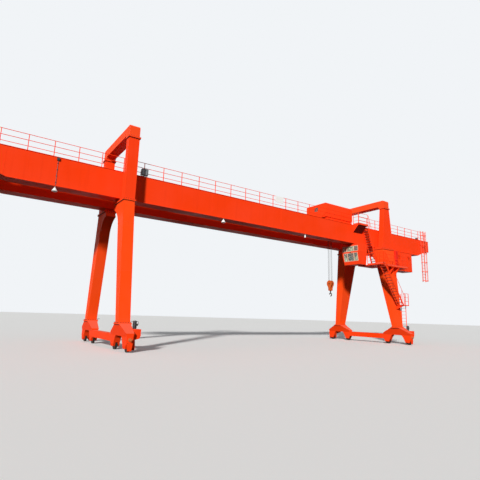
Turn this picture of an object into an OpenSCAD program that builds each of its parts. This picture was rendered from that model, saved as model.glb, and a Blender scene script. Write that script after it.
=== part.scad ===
// Rail-mounted double-girder gantry crane with overhanging girder ends.
// X runs along the girders, Y along the crane rails, Z up from the rail head.
// The front of the crane, with the cab and the stairs, faces -Y.

/* [Crane] */
// Distance between the two crane rails
span = 23300; // [22000:50:25000]
// Height of the girder underside above the rail head
girder_z = 8230; // [8100:10:8600]
// Clear height between the girder top and the arch flanges
arch_clear = 1930; // [1750:10:2000]

/* [Girders] */
// Length of each girder
girder_len = 38900; // [38000:50:40000]
// Depth of each girder
girder_depth = 1600; // [1500:10:1700]
// Width of each girder
girder_w = 875; // [850:5:950]
// Clear gap between the two girders
girder_gap = 1750; // [1700:10:1850]
// Thickness of the girder flange plates
flange_t = 24; // [16:1:32]
// How far the flange plates stand out past the webs
flange_lip = 30; // [20:1:40]
// Length of the tapered end of each girder
taper_len = 1890; // [1600:10:2100]
// Length of the shallow tip of each girder
tip_len = 550; // [450:10:700]
// Height that the underside rises in the taper
taper_rise = 520; // [400:10:650]
// Distance of the trolley rails from the inner edge of a girder
rail_inset = 125; // [110:5:160]
// Width of a trolley rail
rail_w = 70; // [60:1:80]
// Height of a trolley rail
rail_h = 120; // [100:5:140]

/* [Portals] */
// Height of the seat between a leg head and the girder
seat_h = 180; // [150:5:220]
// Gap between a girder and the columns beside it
column_gap = 310; // [280:5:340]
// Thickness of the columns along Y
column_t = 440; // [400:5:480]
// Width of the flexible legs along X
flexible_w = 600; // [560:10:660]
// Width of the rigid legs at the girder
rigid_w = 1550; // [1450:10:1650]
// Width of the rigid legs at the foot
rigid_foot_w = 775; // [700:5:850]
// Width of the rigid portal at the arch
rigid_arch_w = 705; // [650:5:760]
// Height of the arch beam underside above its flanges
arch_rise = 190; // [150:5:260]
// Depth of the arch beam
arch_depth = 520; // [450:10:600]
// Height of the leg foot above the rail head
foot_z = 1350; // [1300:10:1400]
// Thickness of a leg along Y at the foot
foot_t = 500; // [460:5:540]
// How far the legs lean outward from head to foot
leg_lean = 840; // [780:10:900]
// How far the leg head reaches inward under the girder
head_reach = 1500; // [1450:10:1560]
// How far the haunch tip reaches inward
haunch_reach = 1740; // [1700:10:1760]
// Height of the knee where the haunch begins
knee_z = 6750; // [6650:10:6800]
// Thickness of the leg along Y at the knee
knee_t = 915; // [880:5:950]
// Radius of the haunch curve
haunch_r = 1230; // [1220:5:1260]
// Thickness of the bolted joint plates
joint_t = 40; // [30:1:50]
// How far the joint plates stand out
joint_lip = 60; // [50:1:70]

/* [Travel gear] */
// Length of a saddle along Y
saddle_len = 2500; // [2460:10:2600]
// Height of the saddle underside over the rail
saddle_z = 170; // [150:5:180]
// Clear height under the middle of a saddle
saddle_arch_z = 740; // [700:10:780]
// Width of the saddle prongs
prong_w = 340; // [300:5:360]
// Distance between the two wheels of a saddle
wheel_base = 1900; // [1850:10:1920]
// Diameter of a travel wheel over its flanges
wheel_d = 500; // [460:5:520]
// Width of a travel wheel
wheel_w = 110; // [100:1:120]
// Diameter of a wheel axle
axle_d = 90; // [80:1:100]
// Width of the sill beams
sill_w = 340; // [300:10:400]
// Height of the sill beam underside
sill_z = 400; // [380:10:420]
// Depth of the sill beams
sill_h = 400; // [360:10:440]
// Diameter of the rubber buffers
buffer_d = 130; // [110:5:150]
// Length of the buffers
buffer_len = 160; // [140:5:180]
// Height of the buffers above the rail head
buffer_z = 600; // [590:5:640]

/* [Trolley] */
// Position of the trolley along the girders
trolley_x = 7000; // [6500:50:7200]
// Length of the trolley house
house_len = 3250; // [3100:10:3300]
// Width of the trolley house
house_w = 2300; // [2200:10:2340]
// Height of the trolley house
house_h = 1200; // [1100:10:1300]
// Diameter of a trolley wheel
trolley_wheel_d = 260; // [240:5:270]
// Height of the hook block top at rest
block_z = 5110; // [4600:10:5600]
// Diameter of a hoist rope
rope_d = 24; // [20:1:26]

/* [Access] */
// Floor height of the service landing
landing_z = 6450; // [6400:10:6500]
// Height of the handrails
rail_height = 950; // [900:10:1100]
// Width of the railing posts
bar = 35; // [30:1:50]
// Thickness of the rails between the posts
rail_bar = 24; // [20:1:28]
// Width of the cab along Y
cab_w = 1800; // [1740:10:1840]
// Length of the cab along X
cab_len = 1050; // [1000:10:1080]

/* [Hidden] */
leg_z = girder_z - seat_h;
girder_top = girder_z + girder_depth;
arch_z = girder_top + arch_clear;
portal_x = span / 2;
inner_y = girder_gap / 2;
outer_y = inner_y + girder_w;
column_in = outer_y + column_gap;
column_out = column_in + column_t;
rail_y = inner_y + rail_inset;
foot_out = column_out + leg_lean;
foot_in = foot_out - foot_t;
foot_y = foot_out - foot_t / 2;
eps = 1;
far = 60000;
seat_gap = 0.3;

paint = "#f23c1c";
dark_steel = "#2b2b30";

// Extrudes a profile drawn in Y and Z from one X to another
module along_x(x0, x1) {
    translate([x0, 0, 0]) rotate([90, 0, 90]) linear_extrude(x1 - x0) children();
}

// Extrudes a profile drawn in X and Z from one Y to another
module along_y(y0, y1) {
    translate([0, y1, 0]) rotate([90, 0, 0]) linear_extrude(y1 - y0) children();
}

// A block between two corners
module block(a, b) {
    translate(a) cube(b - a);
}

// Puts a piece that is drawn on the rear side at the front
module front() {
    mirror([0, 1, 0]) children();
}

// Side view of a girder with its tapered ends, grown by a margin at the bottom
module girder_side() {
    h = girder_len / 2;
    polygon([
        [-h, girder_top], [-h, girder_z + taper_rise], [-h + tip_len, girder_z + taper_rise],
        [-h + taper_len, girder_z], [h - taper_len, girder_z],
        [h - tip_len, girder_z + taper_rise], [h, girder_z + taper_rise], [h, girder_top]
    ]);
}

// Box girder on the rear side: two webs as one mass, with flange plates that stand out
module girder() {
    h = girder_len / 2;
    color(paint) union() {
        along_y(inner_y + flange_lip, outer_y - flange_lip) girder_side();
        block([-h, inner_y, girder_top - flange_t], [h, outer_y, girder_top]);
        block([-h + taper_len, inner_y, girder_z], [h - taper_len, outer_y, girder_z + flange_t]);
    }
}
module front_girder() { front() girder(); }
module rear_girder() { girder(); }

// Trolley rails, with a stop block past each rail end
stop_l = 220;
stop_h = 400;
stop_w = 180;
stop_in = 900;
stop_gap = 5;
module trolley_rail() {
    h = girder_len / 2 - stop_in;
    block([-h, rail_y - rail_w / 2, girder_top], [h, rail_y + rail_w / 2, girder_top + rail_h]);
    for (s = [0, 1]) mirror([s, 0, 0])
        block([h + stop_gap, rail_y - stop_w / 2, girder_top],
              [h + stop_l, rail_y + stop_w / 2, girder_top + stop_h]);
}
module trolley_rails() {
    color("#5a5450") {
        trolley_rail();
        front() trolley_rail();
    }
}

// Cross beam that ties the two girders together at one end
end_beam_w = 400;
end_beam_rise = 60;
module end_beam(s) {
    x1 = girder_len / 2;
    z0 = girder_z + taper_rise + end_beam_rise;
    color(paint) mirror([s, 0, 0])
        block([x1 - end_beam_w, -inner_y - flange_lip, z0],
              [x1, inner_y + flange_lip, girder_top - flange_t]);
}
module left_end_beam() { end_beam(1); }
module right_end_beam() { end_beam(0); }

// Column beside the girder, standing on the leg head and carrying the arch
module column(px, w0, w1) {
    plate_in = column_out - head_reach - joint_lip;
    color(paint) union() {
        intersection() {
            along_x(px - w0, px + w0) polygon([
                [column_out, leg_z], [column_out, arch_z], [column_in, arch_z],
                [column_in, girder_z], [column_out - head_reach, girder_z],
                [column_out - head_reach, leg_z]
            ]);
            along_y(0, far / 10) polygon([
                [px - w0 / 2, leg_z], [px + w0 / 2, leg_z],
                [px + w1 / 2, arch_z], [px - w1 / 2, arch_z]
            ]);
        }
        block([px - w0 / 2 - joint_lip, plate_in, leg_z],
              [px + w0 / 2 + joint_lip, column_out + joint_lip, leg_z + joint_t]);
        block([px - w1 / 2 - joint_lip, column_in - joint_lip, arch_z - joint_t],
              [px + w1 / 2 + joint_lip, column_out + joint_lip, arch_z]);
    }
}
module left_front_column() { front() column(-portal_x, flexible_w, flexible_w); }
module left_rear_column() { column(-portal_x, flexible_w, flexible_w); }
module right_front_column() { front() column(portal_x, rigid_w, rigid_arch_w); }
module right_rear_column() { column(portal_x, rigid_w, rigid_arch_w); }

// Arch over the girders, with sloping haunches under its corners
corner_cut = 90;
module arch(px, w) {
    top = arch_z + arch_rise + arch_depth;
    under = arch_z + arch_rise;
    color(paint) union() {
        along_x(px - w / 2, px + w / 2) polygon([
            [-column_out, arch_z], [-column_in, arch_z], [-column_in + arch_rise, under],
            [column_in - arch_rise, under], [column_in, arch_z], [column_out, arch_z],
            [column_out, top - corner_cut], [column_out - corner_cut, top],
            [-column_out + corner_cut, top], [-column_out, top - corner_cut]
        ]);
        for (s = [0, 1]) mirror([0, s, 0])
            block([px - w / 2 - joint_lip, column_in - joint_lip, arch_z],
                  [px + w / 2 + joint_lip, column_out + joint_lip, arch_z + joint_t]);
    }
}
module left_arch() { arch(-portal_x, flexible_w); }
module right_arch() { arch(portal_x, rigid_arch_w); }

// Where the outer face of a leg stands at a height
function leg_out(z) = column_out + leg_lean * (leg_z - z) / (leg_z - foot_z);
// Half the width of a rigid leg at a height
function rigid_half(z) = (rigid_foot_w + (rigid_w - rigid_foot_w) * (z - foot_z) / (leg_z - foot_z)) / 2;

// Leg with a curved haunch that carries the girder
module leg(px, w1, w0) {
    knee_y = leg_out(knee_z) - knee_t;
    // The haunch curve starts along the inner face of the leg
    slope = atan2(foot_in - knee_y, knee_z - foot_z);
    centre = [knee_y - haunch_r * cos(slope), knee_z - haunch_r * sin(slope)];
    tip_y = column_out - haunch_reach;
    tip_z = centre[1] + sqrt(pow(haunch_r, 2) - pow(tip_y - centre[0], 2));
    color(paint) union() {
        intersection() {
            along_x(px - w1, px + w1) difference() {
                polygon([
                    [column_out, leg_z], [foot_out, foot_z], [foot_in, foot_z], [knee_y, knee_z],
                    centre, [tip_y, tip_z], [column_out - head_reach, leg_z]
                ]);
                translate(centre) circle(r = haunch_r, $fn = 96);
            }
            along_y(0, far / 10) polygon([
                [px - w0 / 2, foot_z], [px + w0 / 2, foot_z],
                [px + w1 / 2, leg_z], [px - w1 / 2, leg_z]
            ]);
        }
        block([px - w1 / 2 - joint_lip, column_out - head_reach - joint_lip, leg_z - joint_t],
              [px + w1 / 2 + joint_lip, column_out + joint_lip, leg_z]);
        block([px - w0 / 2 - joint_lip, foot_in - joint_lip, foot_z],
              [px + w0 / 2 + joint_lip, foot_out + joint_lip, foot_z + joint_t]);
    }
}
module left_front_leg() { front() leg(-portal_x, flexible_w, flexible_w); }
module left_rear_leg() { leg(-portal_x, flexible_w, flexible_w); }
module right_front_leg() { front() leg(portal_x, rigid_w, rigid_foot_w); }
module right_rear_leg() { leg(portal_x, rigid_w, rigid_foot_w); }

// Saddle over two wheels: it narrows from the leg's foot plate to two forks that hold the axles
shoulder_z = foot_z - 450;
shoulder_top = foot_t / 2 + joint_lip + 30;
fork_len = 340;
arch_half = 430;
arch_foot = 600;
slot_play = 20;
cap_d = 170;
cap_t = 30;
running = 0.1;
fork_flare = 130;
module saddle_side() {
    half = saddle_len / 2;
    wheel_y = wheel_base / 2;
    rim = [
        [shoulder_top, foot_z], [half, shoulder_z], [half, sill_z], [wheel_y + fork_len / 2, saddle_z],
        [wheel_y - fork_len / 2, saddle_z], [arch_half + fork_flare, arch_foot], [arch_half, saddle_arch_z]
    ];
    polygon(concat(rim, [for (i = [len(rim) - 1:-1:0]) [-rim[i][0], rim[i][1]]]));
}
module saddle(px, w) {
    wheel_y = wheel_base / 2;
    slot = wheel_w / 2 + slot_play / 2;
    color(paint) difference() {
        union() {
            intersection() {
                along_x(px - w, px + w) translate([foot_y, 0]) saddle_side();
                along_y(0, far / 10) translate([px, 0]) polygon([
                    [-w / 2 - joint_lip, foot_z], [-w / 2 - joint_lip, foot_z - joint_t],
                    [-w / 2, foot_z - joint_t], [-prong_w / 2, saddle_arch_z], [-prong_w / 2, 0],
                    [prong_w / 2, 0], [prong_w / 2, saddle_arch_z], [w / 2, foot_z - joint_t],
                    [w / 2 + joint_lip, foot_z - joint_t], [w / 2 + joint_lip, foot_z]
                ]);
            }
            for (s = [-1, 1], t = [-1, 1])
                translate([px + t * (prong_w + cap_t) / 2, foot_y + s * wheel_y, wheel_d / 2])
                    rotate([0, 90, 0]) cylinder(d = cap_d, h = cap_t, center = true, $fn = 48);
        }
        for (s = [-1, 1]) {
            y = foot_y + s * wheel_y;
            block([px - slot, y - wheel_d / 2 - slot_play, -eps],
                  [px + slot, y + wheel_d / 2 + slot_play, wheel_d + 3 * slot_play]);
            translate([px, y, wheel_d / 2]) rotate([0, 90, 0])
                cylinder(d = axle_d + running, h = prong_w, center = true, $fn = 48);
        }
    }
}
module left_front_saddle() { front() saddle(-portal_x, flexible_w); }
module left_rear_saddle() { saddle(-portal_x, flexible_w); }
module right_front_saddle() { front() saddle(portal_x, rigid_foot_w); }
module right_rear_saddle() { saddle(portal_x, rigid_foot_w); }

// Sill beam between the two saddles of a portal
module sill(px) {
    y = foot_y - saddle_len / 2;
    color(paint) block([px - sill_w / 2, -y, sill_z], [px + sill_w / 2, y, sill_z + sill_h]);
}
module left_sill_beam() { sill(-portal_x); }
module right_sill_beam() { sill(portal_x); }

// Double-flanged wheel fixed on its axle, which turns in the saddle's bearings
tread_in = 25;
tread_w = 74;
axle_play = 3;
tread_over = 10;
module travel_wheel(px, side, s) {
    color(dark_steel)
        translate([px, side * (foot_y + s * wheel_base / 2), wheel_d / 2]) rotate([0, 90, 0]) {
            difference() {
                cylinder(d = wheel_d, h = wheel_w, center = true, $fn = 64);
                difference() {
                    cylinder(d = wheel_d + tread_over, h = tread_w, center = true, $fn = 64);
                    cylinder(d = wheel_d - 2 * tread_in, h = tread_w + 2, center = true, $fn = 64);
                }
            }
            cylinder(d = axle_d, h = prong_w - 2 * axle_play, center = true, $fn = 48);
        }
}
module left_front_outer_wheel() { travel_wheel(-portal_x, -1, 1); }
module left_front_inner_wheel() { travel_wheel(-portal_x, -1, -1); }
module left_rear_inner_wheel() { travel_wheel(-portal_x, 1, -1); }
module left_rear_outer_wheel() { travel_wheel(-portal_x, 1, 1); }
module right_front_outer_wheel() { travel_wheel(portal_x, -1, 1); }
module right_front_inner_wheel() { travel_wheel(portal_x, -1, -1); }
module right_rear_inner_wheel() { travel_wheel(portal_x, 1, -1); }
module right_rear_outer_wheel() { travel_wheel(portal_x, 1, 1); }

// Gear case beside the outer wheel of a saddle, with a housing down to the axle
case_out = 300;
case_in_y = 420;
case_out_y = 110;
case_z = 560;
case_top = 1100;
housing_w = 340;
housing_t = 120;
drive_x = prong_w / 2 + cap_t;
drive_y = foot_y + wheel_base / 2;
case_nose = 50;
case_sole = 90;
case_flank = 240;
module travel_drive(px, w) {
    out = w / 2 + case_out;
    color(paint) translate([px, 0, 0]) {
        along_y(drive_y - case_in_y, drive_y + case_out_y) polygon([
            [drive_x, case_z], [out - case_nose, case_z + case_sole],
            [out, case_z + case_flank], [out, case_top],
            [w / 2, case_top], [drive_x, case_z + case_flank]
        ]);
        along_x(drive_x, drive_x + housing_t) translate([drive_y, 0]) {
            translate([0, wheel_d / 2]) circle(d = housing_w, $fn = 48);
            polygon([
                [-housing_w / 2, wheel_d / 2], [housing_w / 2, wheel_d / 2],
                [case_out_y, case_z + case_sole], [-case_in_y / 2, case_z + case_sole]
            ]);
        }
    }
}
module travel_drives(px, w) {
    travel_drive(px, w);
    front() travel_drive(px, w);
}
module left_travel_drives() { travel_drives(-portal_x, flexible_w); }
module right_travel_drives() { travel_drives(portal_x, rigid_foot_w); }

// Upright motors on the gear cases: flange, ribbed body, fan cover and terminal box
motor_d = 200;
motor_h = 400;
motor_x = 110;
motor_y = 330;
motor_fins = 16;
motor_wall = 30;
motor_flange = 18;
fin_half = 4;
fin_z = 40;
fin_top = 120;
fan_z = 100;
fan_h = 84;
term_in = 20;
term_half = 50;
term_z = 150;
term_h = 110;
module travel_motor(px, w) {
    color(dark_steel) translate([px + w / 2 + motor_x, drive_y - motor_y, case_top]) {
        cylinder(d = motor_d, h = motor_flange, $fn = 48);
        cylinder(d = motor_d - motor_wall, h = motor_h, $fn = 48);
        for (i = [0:motor_fins - 1]) rotate([0, 0, i * 360 / motor_fins])
            block([0, -fin_half, fin_z], [motor_d / 2, fin_half, motor_h - fin_top]);
        translate([0, 0, motor_h - fan_z]) cylinder(d = motor_d, h = fan_h, $fn = 48);
        block([motor_d / 2 - term_in, -term_half, term_z],
              [motor_d / 2 + term_half, term_half, term_z + term_h]);
    }
}
module travel_motors() {
    for (s = [0, 1]) mirror([0, s, 0]) {
        travel_motor(-portal_x, flexible_w);
        travel_motor(portal_x, rigid_foot_w);
    }
}

// Pointed plates on the outer ends of the saddles that clear the rail
guard_w = 290;
guard_t = 20;
guard_foot_w = 200;
guard_z = 80;
guard_lap = 90;
module rail_guards() {
    y = foot_y + saddle_len / 2;
    color(paint)
        for (px = [-portal_x, portal_x], s = [0, 1]) mirror([0, s, 0]) translate([px, 0, 0])
            along_y(y, y + guard_t) polygon([
                [-guard_w / 2, sill_z + guard_lap], [-guard_w / 2, sill_z], [-guard_foot_w / 2, guard_z],
                [guard_foot_w / 2, guard_z], [guard_w / 2, sill_z], [guard_w / 2, sill_z + guard_lap]
            ]);
}

// Buffers on the outer ends of the saddles, on round base plates
buffer_base = 20;
buffer_rim = 50;
module travel_buffers() {
    y = foot_y + saddle_len / 2;
    color("#d9683c")
        for (px = [-portal_x, portal_x], s = [0, 1]) mirror([0, s, 0])
            translate([px, y, buffer_z]) rotate([-90, 0, 0]) {
                cylinder(d = buffer_d + buffer_rim, h = buffer_base, $fn = 48);
                cylinder(d = buffer_d, h = buffer_len, $fn = 48);
            }
}

// Row of posts with three rails along X
post_step = 1250;
module rail_run_x(x0, x1, y, z, h) {
    n = max(1, ceil((x1 - x0 - bar) / post_step));
    step = (x1 - x0 - bar) / n;
    for (i = [0:n]) block([x0 + i * step, y, z], [x0 + i * step + bar, y + bar, z + h]);
    for (k = [1:3]) block([x0, y + (bar - rail_bar) / 2, z + k * h / 3 - rail_bar],
                          [x1, y + (bar + rail_bar) / 2, z + k * h / 3]);
}

// Row of posts with three rails along Y
module rail_run_y(y0, y1, x, z, h) {
    n = max(1, ceil((y1 - y0 - bar) / post_step));
    step = (y1 - y0 - bar) / n;
    for (i = [0:n]) block([x, y0 + i * step, z], [x + bar, y0 + i * step + bar, z + h]);
    for (k = [1:3]) block([x + (bar - rail_bar) / 2, y0, z + k * h / 3 - rail_bar],
                          [x + (bar + rail_bar) / 2, y1, z + k * h / 3]);
}

// Railings along the outer edge of the girder tops
walk_in = 300;
plat_x0 = portal_x - 3650;
plat_x1 = portal_x - 2400;
plat_y = outer_y + 600;
gate_x0 = plat_x0 + 150;
gate_x1 = plat_x1 - 200;
rail_end = 150;
module front_railing() {
    y = -outer_y + walk_in - bar;
    h = girder_len / 2 - rail_end;
    color("#e9a29a") {
        rail_run_x(-h, gate_x0, y, girder_top, rail_height);
        rail_run_x(gate_x1, h, y, girder_top, rail_height);
    }
}
module rear_railing() {
    y = outer_y - walk_in;
    h = girder_len / 2 - rail_end;
    color("#e9a29a") rail_run_x(-h, h, y, girder_top, rail_height);
}

// Operator's cab, hung under the front girder: its front and sides lean in below the knee
cab_x = portal_x - 3650;
cab_y = -outer_y - 510;
cab_top = girder_z - 60;
cab_wall = 45;
cab_knee = landing_z + 1070;
cab_side_slope = 120;
cab_front_slope = 180;
hanger_w = 100;
module cab_outer(m) {
    y1 = cab_y + cab_w;
    intersection() {
        along_x(cab_x + m, cab_x + cab_len - m) polygon([
            [cab_y + m, cab_top - m], [cab_y + m, cab_knee], [cab_y + cab_side_slope + m, landing_z + m],
            [y1 - cab_side_slope - m, landing_z + m], [y1 - m, cab_knee], [y1 - m, cab_top - m]
        ]);
        along_y(cab_y, y1) polygon([
            [cab_x + m, cab_top - m], [cab_x + m, cab_knee], [cab_x + cab_front_slope + m, landing_z + m],
            [cab_x + cab_len - m, landing_z + m], [cab_x + cab_len - m, cab_top - m]
        ]);
    }
}
// Panes of the cab front, from right to left: where each starts and how wide it is
upper_panes = [[110, 370], [550, 680], [1300, 380]];
lower_panes = [[190, 330], [590, 600], [1260, 340]];
pane_top = cab_top - 190;
pane_sill = pane_top - 390;
foot_pane_top = pane_sill - 180;
foot_pane_sill = landing_z + 320;
side_pane_end = 200;
module cab_pane_blocks() {
    reach = cab_front_slope + 3 * cab_wall;
    for (p = upper_panes)
        block([cab_x - cab_wall, cab_y + p[0], pane_sill], [cab_x + reach, cab_y + p[0] + p[1], pane_top]);
    for (p = lower_panes)
        block([cab_x - cab_wall, cab_y + p[0], foot_pane_sill],
              [cab_x + reach, cab_y + p[0] + p[1], foot_pane_top]);
    // One long window in the side that faces the hoist
    block([cab_x + side_pane_end, cab_y + cab_w - cab_wall - cab_side_slope, foot_pane_top],
          [cab_x + cab_len - side_pane_end, cab_y + cab_w + cab_wall, pane_top]);
}
door_y0 = cab_y + 180;
door_w = 650;
door_top = landing_z + 1630;
module cab_body() {
    color(paint) {
        difference() {
            cab_outer(0);
            cab_outer(cab_wall);
            cab_pane_blocks();
            block([cab_x + cab_len - 2 * cab_wall, door_y0, landing_z + cab_wall],
                  [cab_x + cab_len + cab_wall, door_y0 + door_w, door_top]);
        }
        for (x = [cab_x + hanger_w, cab_x + cab_len - 2 * hanger_w])
            for (y = [-outer_y + hanger_w / 2, -inner_y - 3 * hanger_w / 2])
                block([x, y, cab_top], [x + hanger_w, y + hanger_w, girder_z]);
    }
}
pane_in = 14;
pane_t = 12;
module cab_windows() {
    color("#b9c7b4") intersection() {
        difference() {
            cab_outer(pane_in);
            cab_outer(pane_in + pane_t);
        }
        cab_pane_blocks();
    }
}

// Sliding door of the cab, pushed open on its track beside the doorway
leaf_t = 30;
leaf_gap = 20;
track_h = 40;
module cab_door() {
    x = cab_x + cab_len;
    leaf_y = door_y0 + door_w + leaf_gap;
    color(paint) {
        block([x, door_y0, door_top + leaf_gap],
              [x + leaf_gap + leaf_t, leaf_y + door_w, door_top + leaf_gap + track_h]);
        block([x + leaf_gap, leaf_y, landing_z + leaf_gap],
              [x + leaf_gap + leaf_t, leaf_y + door_w, door_top + leaf_gap]);
    }
}

// Operator's seat on its pedestal between two control consoles
seat_w = 460;
seat_x = 560;
seat_z = 330;
seat_t = 100;
seat_edge = 20;
seat_foot_d = 300;
seat_post_d = 110;
back_z = 1000;
back_rake = 90;
back_t = 80;
console_w = 150;
console_h = 640;
console_half = 200;
console_gap = 60;
console_nose = 60;
console_slope = 90;
module operator_seat() {
    z = landing_z + cab_wall;
    half = seat_w / 2;
    seat_top = seat_z + seat_t;
    color(dark_steel) translate([cab_x + seat_x, cab_y + cab_w / 2, z]) {
        cylinder(d = seat_post_d, h = seat_z, $fn = 32);
        cylinder(d = seat_foot_d, h = seat_edge, $fn = 32);
        block([-half, -half, seat_z], [half - seat_edge, half, seat_top]);
        along_y(-half + seat_edge, half - seat_edge) polygon([
            [half - seat_edge - back_t, seat_top], [half - seat_edge, seat_top],
            [half + back_rake, back_z], [half + seat_edge, back_z + seat_edge / 2]
        ]);
        side = half + console_gap;
        for (s = [0, 1]) mirror([0, s, 0]) along_y(side, side + console_w) polygon([
            [-console_half, 0], [console_half, 0], [console_half, console_h],
            [-console_half + console_nose, console_h],
            [-console_half - console_nose + seat_edge, console_h - console_slope]
        ]);
    }
}

// Service landing around the front of the rigid leg, on brackets
landing_t = 60;
landing_in = 1300;
walk_out = 3300;
walk_edge = 2760;
walk_past = 550;
leg_play = 20;
bracket_t = 60;
bracket_h = 700;
bracket_x = [-400, 340];
rail_end_gap = 100;
room_in = 1100;
room_end = 3300;
room_w = 1000;
room_x = portal_x + room_in;
room_x1 = girder_len / 2 - room_end;
room_y0 = inner_y + 25;
room_y1 = room_y0 + room_w;
stair_w = 550;
stair_y = walk_out + 50;
nose_back = 2350;
nose_x = portal_x - nose_back;
module landing_bracket(x) {
    z = landing_z - landing_t;
    along_x(x, x + bracket_t) polygon([
        [leg_out(z) + seat_gap, z], [walk_out, z], [leg_out(z - bracket_h) + seat_gap, z - bracket_h]
    ]);
}
module service_landing() {
    z = landing_z - landing_t;
    x0 = cab_x + cab_len;
    x1 = portal_x - rigid_half(landing_z) - leg_play;
    color(paint) front() {
        block([x0, landing_in, z], [x1, walk_out, landing_z]);
        block([x0, walk_out, z], [nose_x, stair_y + stair_w, landing_z]);
        block([x1, walk_edge, z], [room_x + walk_past, walk_out, landing_z]);
        block([portal_x + rigid_half(landing_z) + leg_play, room_y1, z],
              [room_x + walk_past, walk_edge, landing_z]);
        for (x = bracket_x) landing_bracket(portal_x + x);
    }
}
module landing_railing() {
    x0 = cab_x + cab_len;
    x1 = room_x + walk_past;
    y1 = stair_y + stair_w - bar;
    color("#d8452c") front() {
        rail_run_x(nose_x, x1, walk_out - bar, landing_z, rail_height);
        rail_run_x(x0, nose_x - bar, y1, landing_z, rail_height);
        rail_run_y(-cab_y + leg_play, y1, x0, landing_z, rail_height);
        rail_run_y(room_y1 + rail_end_gap, walk_out - bar, x1 - bar, landing_z, rail_height);
    }
}

// Electrical room, hung under the front girder beyond the leg, with a drip edge round its roof
drip = 30;
module electrical_room() {
    color(paint) front() {
        block([room_x, room_y0, landing_z], [room_x1, room_y1, girder_z - drip]);
        block([room_x - drip, room_y0, girder_z - drip],
              [room_x1 + drip, room_y1 + drip, girder_z]);
    }
}

// Small platform at the girder top where the upper stair arrives
plat_bracket_h = 650;
plat_bracket_in = 260;
plat_lip = 40;
module upper_platform() {
    web_y = outer_y - flange_lip;
    color(paint) front() {
        block([plat_x0, outer_y, girder_top - landing_t], [plat_x1, plat_y, girder_top]);
        for (x = [plat_x0, plat_x1 - plat_bracket_in])
            along_x(x, x + bracket_t) polygon([
                [web_y, girder_top - landing_t], [plat_y - plat_lip, girder_top - landing_t],
                [web_y, girder_top - plat_bracket_h]
            ]);
    }
}
module platform_railing() {
    color("#e0604a") front() {
        rail_run_x(plat_x0, plat_x1, plat_y - bar, girder_top, rail_height);
        rail_run_y(outer_y, plat_y - bar, plat_x0, girder_top, rail_height);
    }
}

// A flight of open treads between two stringers
tread_t = 30;
tread_d = 150;
stringer_t = 25;
stringer_h = 180;
riser = 215;
module flight(x0, z0, x1, z1, y, w) {
    n = round((z0 - z1) / riser);
    rise = (z0 - z1) / n;
    run = (x1 - x0) / n;
    for (s = [0, w - stringer_t])
        along_y(y + s, y + s + stringer_t) polygon([
            [x0, z0], [x1, z1], [x1 - stringer_h, z1], [x0, z0 - stringer_h * rise / run]
        ]);
    for (i = [1:n - 1])
        block([x0 + i * run - tread_d, y + stringer_t, z0 - i * rise - tread_t],
              [x0 + i * run, y + w - stringer_t, z0 - i * rise]);
}
// Handrail beside a flight, on three posts
hand_drop = 80;
post_at = [0.1, 0.5, 0.88];
module stair_rail(x0, z0, x1, z1, y) {
    top = rail_height - hand_drop;
    along_y(y, y + rail_bar) {
        polygon([[x0, z0 + top - bar], [x0, z0 + top], [x1, z1 + top], [x1, z1 + top - bar]]);
        for (t = post_at) {
            x = x0 + t * (x1 - x0);
            z = z0 + t * (z1 - z0);
            translate([x, z - bar]) square([rail_bar, top]);
        }
    }
}
upper_end = 1230;
upper_in = 50;
upper_x1 = portal_x - upper_end;
upper_y = outer_y + upper_in;
module upper_stair() {
    color(paint) front() {
        flight(plat_x1, girder_top, upper_x1, landing_z, upper_y, stair_w);
        stair_rail(plat_x1, girder_top, upper_x1, landing_z, upper_y + stair_w);
    }
}
mid_end = 150;
mid_x1 = portal_x - mid_end;
rest_z = 3200;
rest_past = 530;
rest_x1 = portal_x + rest_past;
rest_bracket_h = 300;
module middle_stair() {
    z = rest_z - landing_t;
    y1 = stair_y + stair_w;
    color(paint) front() {
        flight(nose_x, landing_z, mid_x1, rest_z, stair_y, stair_w);
        stair_rail(nose_x, landing_z, mid_x1, rest_z, y1);
        block([mid_x1 - bracket_t, stair_y, z], [rest_x1, y1, rest_z]);
        rail_run_x(mid_x1 + bracket_t, rest_x1, y1 - bar, rest_z, rail_height);
        along_x(mid_x1, mid_x1 + bracket_t) polygon([
            [leg_out(z) + seat_gap, z], [y1, z], [leg_out(z - rest_bracket_h) + seat_gap, z - rest_bracket_h]
        ]);
    }
}

// Ladder from the resting landing down to the saddle, held off the leg by short arms
ladder_z0 = 1180;
ladder_in = 190;
ladder_y0 = foot_out - ladder_in;
ladder_arm = 250;
ladder_arms = 1000;
rung_z0 = 100;
ladder_w = 450;
stile = 40;
rung_step = 280;
rung_d = 26;
module lower_ladder() {
    color("#9c3a2c") front() {
        for (y = [ladder_y0, ladder_y0 + ladder_w - stile])
            block([rest_x1, y, ladder_z0], [rest_x1 + stile, y + stile, rest_z + rail_height]);
        for (z = [ladder_z0 + rung_z0:rung_step:rest_z])
            translate([rest_x1 + stile / 2, ladder_y0 + stile, z]) rotate([-90, 0, 0])
                cylinder(d = rung_d, h = ladder_w - 2 * stile, $fn = 16);
        for (z = [foot_z + ladder_arm, foot_z + ladder_arm + ladder_arms])
            block([portal_x + rigid_half(z + stile) + seat_gap, ladder_y0, z],
                  [rest_x1, ladder_y0 + stile, z + stile]);
    }
}

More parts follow.
